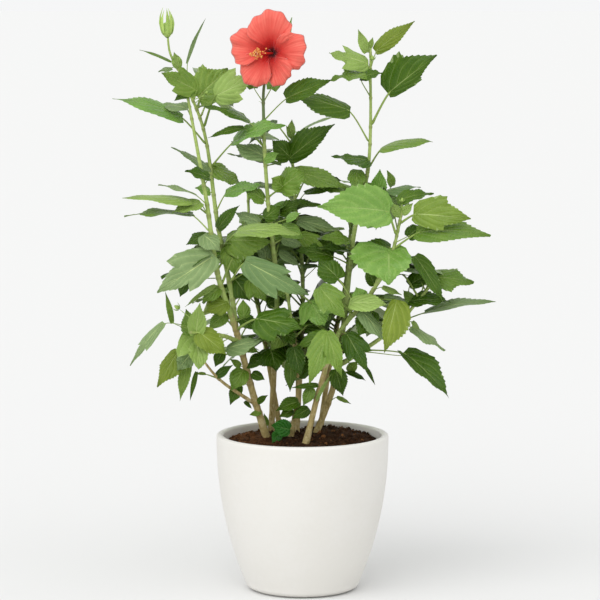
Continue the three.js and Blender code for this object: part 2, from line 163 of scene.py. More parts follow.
def makeMesh(name, plan, points, maps=None, values=None, faceValues=None, look=None, rim=None):
    # points holds, for each copy of the plan, the place of every corner of its grids. The
    # edges between two corners of the rim stay sharp, so that each side has its own shading.
    copies = len(points)
    vertices = points[:, plan.keep].reshape(-1, 3) * metre
    spots = np.concatenate([plan.quads.ravel(), plan.triangles.ravel()])
    each = len(plan.keep)
    corners = (plan.number[spots] + each * np.arange(copies)[:, None]).ravel()
    quads, triangles = len(plan.quads), len(plan.triangles)
    starts = np.concatenate([4 * np.arange(quads), 4 * quads + 3 * np.arange(triangles)])
    starts = (starts + len(spots) * np.arange(copies)[:, None]).ravel()
    mesh = bpy.data.meshes.new(name)
    mesh.vertices.add(len(vertices))
    mesh.vertices.foreach_set("co", vertices.ravel().astype(np.float32))
    mesh.loops.add(len(corners))
    mesh.loops.foreach_set("vertex_index", corners.astype(np.int32))
    mesh.polygons.add(len(starts))
    mesh.polygons.foreach_set("loop_start", starts.astype(np.int32))
    mesh.polygons.foreach_set("use_smooth", np.ones(len(starts), bool))
    if look is not None:
        faces = np.repeat(look, quads + triangles)
        mesh.polygons.foreach_set("material_index", faces.astype(np.int32))
    for key, places in (maps or {}).items():
        layer = mesh.uv_layers.new(name=key)
        layer.uv.foreach_set("vector", places[:, spots].ravel().astype(np.float32))
    for key, value in (values or {}).items():
        spread = np.broadcast_to(value, points.shape[:2])[:, plan.keep]
        attribute = mesh.attributes.new(key, "FLOAT", "POINT")
        attribute.data.foreach_set("value", spread.ravel().astype(np.float32))
    for key, value in (faceValues or {}).items():
        first = np.concatenate([plan.quads[:, 0], plan.triangles[:, 0]])
        attribute = mesh.attributes.new(key, "FLOAT", "FACE")
        attribute.data.foreach_set("value", np.tile(value[first], copies).astype(np.float32))
    mesh.update(calc_edges=True)
    if rim is not None:
        ends = np.empty(2 * len(mesh.edges), np.int32)
        mesh.edges.foreach_get("vertices", ends)
        sharp = np.tile(rim[plan.keep], copies)[ends.reshape(-1, 2)].all(1)
        mesh.attributes.new("sharp_edge", "BOOLEAN", "EDGE").data.foreach_set("value", sharp)
    return mesh


def joinMeshes(name, meshes):
    # Several meshes made one, with their maps and attributes.
    holders = [bpy.data.objects.new(name, mesh) for mesh in meshes]
    for holder in holders:
        bpy.context.scene.collection.objects.link(holder)
    with bpy.context.temp_override(active_object=holders[0], selected_editable_objects=holders):
        bpy.ops.object.join()
    mesh = holders[0].data
    bpy.data.objects.remove(holders[0])
    mesh.name = name
    return mesh


def addPiece(name, meshes, materials, replaced=()):
    # One finished piece: its meshes made one, its finishes, and the CAD pieces it stands for.
    for mesh in meshes:
        for material in materials:
            mesh.materials.append(material)
    mesh = joinMeshes(name, meshes) if len(meshes) > 1 else meshes[0]
    piece = bpy.data.objects.new(name, mesh)
    bpy.context.scene.collection.objects.link(piece)
    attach(piece, "root")
    if replaced:
        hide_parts(*replaced)
    print(f"{name}: {sum(len(p.vertices) - 2 for p in mesh.polygons)} triangles")


def ringsRound(centres, radii, columns, side=None):
    # Rings round each path: centre + radius * (cos of the turn * side + sin of it * front),
    # where side and front stand square to the path. Arrays are (tubes, rows, 3).
    along = unit(np.gradient(centres, axis=1))
    if side is None:
        flat = np.abs(along.mean(1)[:, 2]) < 0.8
        side = np.where(flat[:, None], upward, backward)
    across = unit(np.cross(along, side[:, None, :]))
    front = np.cross(along, across)
    angle = np.linspace(0, turn, columns)[:, None]
    spokes = np.cos(angle) * across[:, :, None] + np.sin(angle) * front[:, :, None]
    return centres[:, :, None] + radii[..., None, None] * spokes


def capped(radii):
    # The same radii with nothing at the first and the last ring, to close the ends.
    radii = radii.copy()
    radii[:, 0], radii[:, -1] = 0, 0
    return radii


def makeTubes(name, centres, radii, columns, tone):
    # A round closed tube along each path of centres, an array of (tubes, rows, 3).
    points = ringsRound(centres, capped(radii), columns)
    plan = tubePlan(centres.shape[1], columns)
    return makeMesh(name, plan, points.reshape(len(points), -1, 3), values={"tone": tone})


def straightRows(starts, ends, rows):
    # Points at even distances on the straight line from each start to its end.
    share = np.linspace(0, 1, rows)[None, :, None]
    return starts[:, None] * (1 - share) + ends[:, None] * share


def unitBall(rows, columns):
    # The points of a ball of radius 1 by its tilt and its turn: (sin tilt cos turn,
    # sin tilt sin turn, cos tilt).
    tilt = np.linspace(0, np.pi, rows)[:, None]
    angle = np.linspace(0, turn, columns)[None]
    parts = [np.sin(tilt) * np.cos(angle), np.sin(tilt) * np.sin(angle), np.cos(tilt) + 0 * angle]
    return np.stack(parts, -1).reshape(-1, 3)


# Helpers for materials
def paint(red, green, blue):
    # A colour from a colour card, 0 to 255, as the linear values that shaders take.
    share = np.array([red, green, blue]) / 255
    linear = np.where(share <= 0.04045, share / 12.92, ((share + 0.055) / 1.055) ** 2.4)
    return (*linear.tolist(), 1.0)


def addNode(tree, kind, inputs=None, **settings):
    node = tree.nodes.new(kind)
    for key, value in settings.items():
        setattr(node, key, value)
    for key, value in (inputs or {}).items():
        if isinstance(value, bpy.types.NodeSocket):
            tree.links.new(value, node.inputs[key])
        else:
            node.inputs[key].default_value = value
    return node


def reckon(tree, operation, first, second=0.0, third=0.0):
    inputs = {0: first, 1: second, 2: third}
    return addNode(tree, "ShaderNodeMath", inputs, operation=operation).outputs[0]


def times(tree, first, second):
    # The product of two values.
    return reckon(tree, "MULTIPLY", first, second)


def between(tree, value, low, high, start=0.0, end=1.0):
    # A value between low and high carried smoothly to one between start and end.
    ends = {"Value": value, "From Min": low, "From Max": high, "To Min": start, "To Max": end}
    node = addNode(tree, "ShaderNodeMapRange", ends, interpolation_type="SMOOTHSTEP")
    return node.outputs["Result"]


def layered(tree, colour, *layers):
    # A colour with others laid over it in turn, each by its own share.
    for share, over in layers:
        inputs = {0: share, 6: colour, 7: over}
        colour = addNode(tree, "ShaderNodeMix", inputs, data_type="RGBA").outputs[2]
    return colour


def attributeOf(tree, name):
    return addNode(tree, "ShaderNodeAttribute", attribute_name=name).outputs["Fac"]


def newGroup(name, inputs, outputs):
    # A node group with a place, numbers by name and their usual values, and what it gives.
    group = bpy.data.node_groups.new(name, "ShaderNodeTree")
    group.interface.new_socket("Vector", in_out="INPUT", socket_type="NodeSocketVector")
    for key, value in inputs.items():
        socket = group.interface.new_socket(key, in_out="INPUT", socket_type="NodeSocketFloat")
        socket.default_value = value
    for key in outputs:
        group.interface.new_socket(key, in_out="OUTPUT", socket_type="NodeSocketFloat")
    given = group.nodes.new("NodeGroupInput").outputs
    result = group.nodes.new("NodeGroupOutput").inputs
    return group, given, result


def placeGroup(tree, group, inputs):
    return addNode(tree, "ShaderNodeGroup", inputs, node_tree=group).outputs


def makeMottle():
    # Cloudy unevenness at two sizes, for any finish: tone from 0 to 1.
    group, given, result = newGroup(
        "mottle", {"Coarse": 20.0, "Fine": 200.0, "Fine Share": 0.4}, ["Tone"]
    )
    clouds = [
        addNode(group, "ShaderNodeTexNoise",
                {"Vector": given["Vector"], "Scale": given[size], "Detail": detail}).outputs["Fac"]
        for size, detail in (("Coarse", 3.0), ("Fine", 4.0))
    ]
    mixed = addNode(group, "ShaderNodeMix", {0: given["Fine Share"], 2: clouds[0], 3: clouds[1]})
    group.links.new(between(group, mixed.outputs[0], 0.3, 0.7), result["Tone"])
    return group


def makeVeins():
    # Veins of a blade from its own map, whose X runs from base to tip and Y across.
    # A side vein lies where (x - slant * distance from the midrib) * count is whole.
    group, given, result = newGroup(
        "leafVeins",
        {"Side Veins": 4.2, "Slant": 0.56, "Midrib Width": 0.055, "Side Width": 0.05},
        ["Veins", "Pillows"],
    )
    parts = addNode(group, "ShaderNodeSeparateXYZ", {0: given["Vector"]}).outputs
    offset = reckon(group, "MULTIPLY_ADD", parts["Y"], 2.0, -1.0)
    far = reckon(group, "ABSOLUTE", offset)
    narrowing = reckon(group, "MULTIPLY_ADD", parts["X"], -0.75, 1.0)
    ribWidth = times(group, given["Midrib Width"], narrowing)
    rib = between(group, far, times(group, ribWidth, 0.35), ribWidth, 1.0, 0.0)
    place = reckon(group, "SUBTRACT", parts["X"], times(group, far, given["Slant"]))
    saw = reckon(group, "FRACT", times(group, place, given["Side Veins"]))
    fromVein = reckon(group, "ABSOLUTE", reckon(group, "SUBTRACT", saw, 0.5))
    side = between(group, fromVein, 0.0, given["Side Width"], 1.0, 0.0)
    side = times(group, side, between(group, far, 0.25, 1.0, 0.75, 0.2))  # fades outwards
    group.links.new(reckon(group, "MAXIMUM", rib, side), result["Veins"])
    swell = between(group, fromVein, 0.0, 0.4)
    inside = between(group, far, 0.0, 0.2)
    group.links.new(times(group, swell, inside), result["Pillows"])
    return group


mottle = makeMottle()
leafVeins = makeVeins()


def cloudOn(tree, where, coarse, fine, fineShare=0.4):
    # Cloudy tone on a surface, by the detail of its large and of its small clouds.
    inputs = {"Vector": where, "Coarse": coarse, "Fine": fine, "Fine Share": fineShare}
    return placeGroup(tree, mottle, inputs)["Tone"]


def startMaterial(name, **sockets):
    material = bpy.data.materials.new(name)
    material.use_nodes = True
    tree = material.node_tree
    shader = tree.nodes["Principled BSDF"]
    for key, value in sockets.items():
        shader.inputs[key.replace("_", " ")].default_value = value
    where = addNode(tree, "ShaderNodeTexCoord").outputs["Object"]
    return material, tree, shader.inputs, where


def finishSurface(tree, shader, colour, roughness, relief, depth, strength):
    # The colour, the roughness and a bump, whose depth is in metres, given to the shader.
    bump = {"Height": relief, "Distance": depth, "Strength": strength}
    normal = addNode(tree, "ShaderNodeBump", bump).outputs["Normal"]
    for key, value in (("Base Color", colour), ("Roughness", roughness), ("Normal", normal)):
        tree.links.new(value, shader[key])


# Pot
pot = {
    "height": 200, "rimRadius": 110, "footRadius": 58, "narrowing": 40.5, "power": 2.2,
    "edgeHeight": 9, "wall": 9, "floor": 12, "lip": 3, "columns": 145,
    "footRows": 9, "sideRows": 40, "lipRows": 13, "insideRows": 24,
    "glaze": paint(222, 220, 215), "shade": paint(214, 211, 203),
}


def potOutside(height):
    # Rim radius less the narrowing times the share below the rim raised to a power.
    below = (pot["height"] - height) / pot["height"]
    return pot["rimRadius"] - pot["narrowing"] * below ** pot["power"]


def turnedPoints(profile, columns):
    # Each (radius, height) of the profile carried once round the upright axis.
    angle = np.linspace(0, turn, columns)
    radius, height = np.array(profile, float).T
    flat = radius[:, None] * np.stack([np.cos(angle), np.sin(angle)])[:, None]
    return np.stack([*flat, np.broadcast_to(height[:, None], flat[0].shape)], -1)


def makePot():
    # The profile: a rounded foot, the outside, a rounded lip and the inside down to the floor.
    lipFoot = pot["height"] - pot["lip"]
    corner = potOutside(pot["edgeHeight"])
    foot = [(corner - (corner - pot["footRadius"]) * (1 - np.sin(angle)),
             pot["edgeHeight"] * (1 - np.cos(angle)))
            for angle in np.linspace(0, np.pi / 2, pot["footRows"])]
    side = [(potOutside(z), z) for z in np.linspace(pot["edgeHeight"], lipFoot, pot["sideRows"])]
    bulge = pot["wall"] / 2
    lip = [(pot["rimRadius"] - bulge + bulge * np.cos(angle), lipFoot + pot["lip"] * np.sin(angle))
           for angle in np.linspace(0, np.pi, pot["lipRows"])]
    inner = [(potOutside(z) - pot["wall"], z)
             for z in np.linspace(lipFoot, pot["floor"], pot["insideRows"])]
    profile = [(0, 0), (pot["footRadius"] / 2, 0)] + foot + side[1:] + lip[1:] + inner[1:]
    points = turnedPoints(profile + [(0, pot["floor"])], pot["columns"])
    mesh = makeMesh("white_pot", tubePlan(*points.shape[:2]), points.reshape(1, -1, 3))

    material, tree, shader, where = startMaterial("whiteGlaze", IOR=1.46)
    cloud = cloudOn(tree, where, 9.0, 160.0, 0.25)
    grain = addNode(tree, "ShaderNodeTexNoise", {"Vector": where, "Scale": 900.0, "Detail": 2.0})
    colour = layered(tree, pot["glaze"], (between(tree, cloud, 0.0, 1.0, 0.0, 0.35), pot["shade"]))
    rough = between(tree, cloud, 0.0, 1.0, 0.42, 0.56)
    finishSurface(tree, shader, colour, rough, grain.outputs["Fac"], 0.00006, 0.5)
    addPiece("white_pot_glazed", [mesh], [material], ["pot"])


# Soil
soil = {
    "top": 184.5, "edgeDrop": 2.5, "edgeReach": 14, "backRise": 6, "riseFrom": -8, "riseTo": 44,
    "rows": 46, "columns": 181, "gap": 0.5, "wallTop": 176, "wallRows": 6,
    "mounds": [(34, 70, 24, 6.0), (-54, 44, 22, 3.5), (64, 30, 20, 3.0), (-10, -62, 40, -1.5)],
    "ripples": [(1.3, 17, 3, 12), (0.7, 6, 4, 14)],  # height, size, seed, waves
    "crumbs": 1900, "crumbSizes": (0.7, 2.9), "seed": 17, "crumbRows": 5, "crumbColumns": 7,
    "crumbEdge": 3, "sunk": 0.25, "lumps": 0.3, "lumpLimits": (0.55, 1.5), "stretch": (0.6, 1.25),
    "dark": paint(24, 14, 6), "brown": paint(70, 42, 18), "pale": paint(136, 92, 52),
    "dry": paint(118, 76, 42),
}


def soilHeight(x, y):
    # Ground that rises to the back and falls a little at the wall, with a few mounds and
    # two sizes of ripples.
    rim = potOutside(soil["top"]) - pot["wall"]
    height = soil["top"] - soil["edgeDrop"] * smooth(np.hypot(x, y), rim - soil["edgeReach"], rim)
    height = height + soil["backRise"] * smooth(y, soil["riseFrom"], soil["riseTo"])
    for across, back, reach, rise in soil["mounds"]:
        height = height + rise * np.exp(-((x - across) ** 2 + (y - back) ** 2) / (2 * reach**2))
    spot = np.stack([x, y, np.zeros_like(x)], -1)
    for rise, size, seed, waves in soil["ripples"]:
        height = height + rise * ripple(spot, size, seed, waves)
    return height


def makeGround(wallRadius):
    # The ground in rings of equal area, and its walls down to the pot's floor.
    radius = wallRadius * np.sqrt(np.linspace(0, 1, soil["rows"]))
    angle = np.linspace(0, turn, soil["columns"])
    x, y = radius[:, None] * np.cos(angle), radius[:, None] * np.sin(angle)
    top = np.stack([x, y, soilHeight(x, y)], -1)
    depths = np.linspace(soil["wallTop"], pot["floor"] + soil["gap"], soil["wallRows"])
    walls = [(potOutside(z) - pot["wall"] - soil["gap"], z) for z in depths] + [(0, depths[-1])]
    points = np.concatenate([top, turnedPoints(walls, soil["columns"])])
    return makeMesh("ground", tubePlan(*points.shape[:2], turned=True), points.reshape(1, -1, 3))


def makeCrumbs(wallRadius):
    # Lumpy little balls, most of them small, partly sunk into the ground.
    draw = np.random.default_rng(soil["seed"])
    count, rows, columns = soil["crumbs"], soil["crumbRows"], soil["crumbColumns"]
    spread = (wallRadius - soil["crumbEdge"]) * np.sqrt(draw.uniform(0, 1, count))
    bearing = draw.uniform(0, turn, count)
    x, y = spread * np.cos(bearing), spread * np.sin(bearing)
    small, large = soil["crumbSizes"]
    size = small + (large - small) * draw.uniform(0, 1, count) ** 2.6
    middle = np.stack([x, y, soilHeight(x, y) + soil["sunk"] * size], -1)
    lumps = 1 + soil["lumps"] * draw.normal(size=(count, rows, columns))
    lumps[:, :, -1] = lumps[:, :, 0]
    lumps[:, 0], lumps[:, -1] = 1, 1
    frames = np.linalg.qr(draw.normal(size=(count, 3, 3)))[0]
    stretch = draw.uniform(*soil["stretch"], (count, 1, 3))
    lumps = np.clip(lumps, *soil["lumpLimits"]).reshape(count, -1, 1)
    shaped = (unitBall(rows, columns) * lumps * stretch) @ frames * size[:, None, None]
    tone = draw.uniform(0, 1, count)[:, None]
    plan = tubePlan(rows, columns, turned=True)
    crumbs = makeMesh("crumbs", plan, shaped + middle[:, None], values={"tone": tone})
    crumbs.polygons.foreach_set("use_smooth", np.zeros(len(crumbs.polygons), bool))
    return crumbs


def makeSoil():
    wallRadius = potOutside(soil["top"]) - pot["wall"] - soil["gap"]
    meshes = [makeGround(wallRadius), makeCrumbs(wallRadius)]

    # brown by clouds, single pale crumbs, and drier to the left
    material, tree, shader, where = startMaterial("dampCompost", IOR=1.4, Specular_IOR_Level=0.25)
    cloud = cloudOn(tree, where, 90.0, 700.0, 0.55)
    across = addNode(tree, "ShaderNodeSeparateXYZ", {0: where}).outputs["X"]
    colour = layered(
        tree, soil["dark"],
        (cloud, soil["brown"]),
        (between(tree, attributeOf(tree, "tone"), 0.86, 1.0, 0.0, 0.7), soil["pale"]),
        (times(tree, between(tree, across, -0.09, 0.0, 0.8, 0.0), cloud), soil["dry"]),
    )
    rough = between(tree, cloud, 0.0, 1.0, 0.95, 0.75)
    finishSurface(tree, shader, colour, rough, cloud, 0.0008, 0.8)
    addPiece("potting_soil", meshes, [material], ["soil"])


makePot()
makeSoil()
print("pot and soil made")


# Limbs
# The bloom's place comes first, because its stem ends behind it.
bloom = {
    "centre": np.array([-42.0, -34.0, 685.5]), "turn": -16, "lift": 4,
    "throatDepth": 17, "petalThickness": 3.4,
}


def bloomPlace(right, up, out):
    # A point across the bloom's face and along its axis: tipped up, turned left, then moved.
    lift, yaw = np.radians(bloom["lift"]), np.radians(bloom["turn"])
    x, y, z = right, -out, up
    y, z = y * np.cos(lift) + z * np.sin(lift), -y * np.sin(lift) + z * np.cos(lift)
    x, y = x * np.cos(yaw) - y * np.sin(yaw), x * np.sin(yaw) + y * np.cos(yaw)
    return np.stack(np.broadcast_arrays(x, y, z), -1) + bloom["centre"]


def behindBloom(distance):
    # The point of the bloom's axis at a distance behind its throat.
    return bloomPlace(0.0, 0.0, -(bloom["throatDepth"] + bloom["petalThickness"] + distance))


# Each limb runs along a curve through a few points, foot first, and tapers evenly from one
# radius to the other. One with a flare stands in the soil. wood is the height up to which it
# has turned to bark, and deepFrom the two heights between which its green deepens.
limbs = {
    "left_stem": {
        "path": [[-45, 30, 185], [-64, 18, 250], [-85, 0, 334], [-107, -12, 404],
                 [-121, -20, 500], [-144, -10, 628]],
        "radii": (4.9, 1.7), "flare": True, "wood": 350,
    },
    "bloom_stem": {
        "path": [[-41, 60, 185], [-37, 50, 274], [-33, 30, 381], [-44, 10, 498],
                 [-49, -8, 600], [-47, 0, 650], behindBloom(20), behindBloom(7)],
        "radii": (4.1, 1.5), "flare": True, "wood": 330, "deepFrom": (560, 610),
    },
    "centre_stem": {
        "path": [[-16, 35, 185], [-6, 25, 246], [-10, 10, 313], [-20, -5, 385]],
        "radii": (3.6, 1.8), "flare": True, "wood": 330,
    },
    "centre_back_stem": {
        "path": [[-8, 54, 185], [-2, 64, 290], [0, 72, 400], [-10, 77, 500], [-15, 78, 590]],
        "radii": (3.6, 1.4), "flare": True, "wood": 320,
    },
    "right_stem": {
        "path": [[4, 8, 185], [24, 2, 265], [45, -8, 328], [86, -24, 382],
                 [111, -34, 431], [126, -36, 494]],
        "radii": (4.0, 1.6), "flare": True, "wood": 290,
    },
    "tall_right_stem": {
        "path": [[15, 50, 185], [40, 50, 253], [54, 50, 340], [66, 43, 450],
                 [84, 30, 540], [86, 10, 696]],
        "radii": (4.2, 1.4), "flare": True, "wood": 320,
    },
    "back_left_stem": {
        "path": [[-28, 76, 185], [-48, 92, 300], [-66, 112, 400], [-72, 124, 505]],
        "radii": (3.8, 1.6), "flare": True, "wood": 340,
    },
    "back_right_stem": {
        "path": [[22, 74, 185], [38, 96, 290], [58, 122, 390], [66, 136, 490]],
        "radii": (3.8, 1.6), "flare": True, "wood": 340,
    },
    "bud_bough": {
        "path": [[-84, 1, 330], [-91, 12, 380], [-108, 22, 465], [-127, 30, 590],
                 [-156, 28, 659], [-168, 26, 684], [-171, 25, 706]],
        "radii": (3.6, 1.3), "flare": False, "wood": 250,
    },
    "far_right_bough": {
        "path": [[46, 50, 280], [80, 34, 304], [120, 10, 338], [160, -10, 388]],
        "radii": (3.4, 1.6), "flare": False, "wood": 270,
    },
    "low_left_bough": {
        "path": [[-80, 4, 318], [-104, -28, 330], [-140, -64, 338]],
        "radii": (2.8, 1.6), "flare": False, "wood": 250,
    },
    "left_twig_bough": {
        "path": [[-60, 21, 234], [-106, -20, 273], [-126, -38, 300]],
        "radii": (2.6, 1.4), "flare": False, "wood": 330,
    },
}

# The bark's relief is a share of the radius, for old wood and for young.
bark = {
    "ringStep": 1.6, "columns": 19, "flareHeight": 12, "flareGain": 0.25, "rooting": 9,
    "rootRows": 6, "ageing": 55, "relief": 0.075, "youngRelief": 0.02, "stretch": 0.22,
    "fissures": (3.2, 11, 16), "lumps": (9, 12, 12), "lumpShare": 0.6,  # size, seed, waves
    "jointSwell": 0.55, "jointReach": 1.7,
    "tan": paint(186, 168, 112), "brown": paint(136, 118, 66), "ash": paint(208, 194, 150),
    "green": paint(172, 190, 108), "deepGreen": paint(134, 158, 72),
    "paleGreen": paint(160, 180, 104), "stalkGreen": paint(88, 108, 58),
    "jointBrown": paint(104, 96, 56),
}


def curveThrough(path, steps=60):
    # A centripetal Catmull-Rom curve: between two points, a cubic whose slopes come from
    # the neighbours, weighed by the square roots of the distances.
    points = np.array(path, float)
    before, after = 2 * points[:1] - points[1:2], 2 * points[-1:] - points[-2:-1]
    points = np.concatenate([before, points, after])
    share = np.linspace(0, 1, steps, endpoint=False)[:, None]
    square, cube = share**2, share**3
    runs = []
    for a, b, c, d in zip(points, points[1:], points[2:], points[3:]):
        first, middle, last = [np.linalg.norm(q - p) ** 0.5 for p, q in ((a, b), (b, c), (c, d))]
        leave = ((b - a) / first - (c - a) / (first + middle) + (c - b) / middle) * middle
        arrive = ((c - b) / middle - (d - b) / (middle + last) + (d - c) / last) * middle
        runs.append((2 * cube - 3 * square + 1) * b + (cube - 2 * square + share) * leave
                    + (3 * square - 2 * cube) * c + (cube - square) * arrive)
    return np.concatenate(runs + [points[-2:-1]])


def evenly(points, step):
    # The same curve with points at even distances along it.
    lengths = np.concatenate([[0], np.cumsum(np.linalg.norm(np.diff(points, axis=0), axis=1))])
    places = np.linspace(0, lengths[-1], max(4, int(lengths[-1] / step)))
    return np.stack([np.interp(places, lengths, axis) for axis in points.T], -1), places


for limb in limbs.values():
    limb["curve"] = curveThrough(limb["path"])
    limb["joints"] = []


def pointOn(limb, height):
    # The point of a limb's axis at a height.
    curve = limb["curve"]
    return np.array([np.interp(height, curve[:, 2], axis) for axis in curve.T])


def rowOn(limb, pixelRow):
    # The point of a limb's axis that shows in that row of the photograph.
    curve = limb["curve"]
    rows = pixelOfPlace(curve)[:, 1]
    return pointOn(limb, np.interp(-pixelRow, -rows, curve[:, 2]))


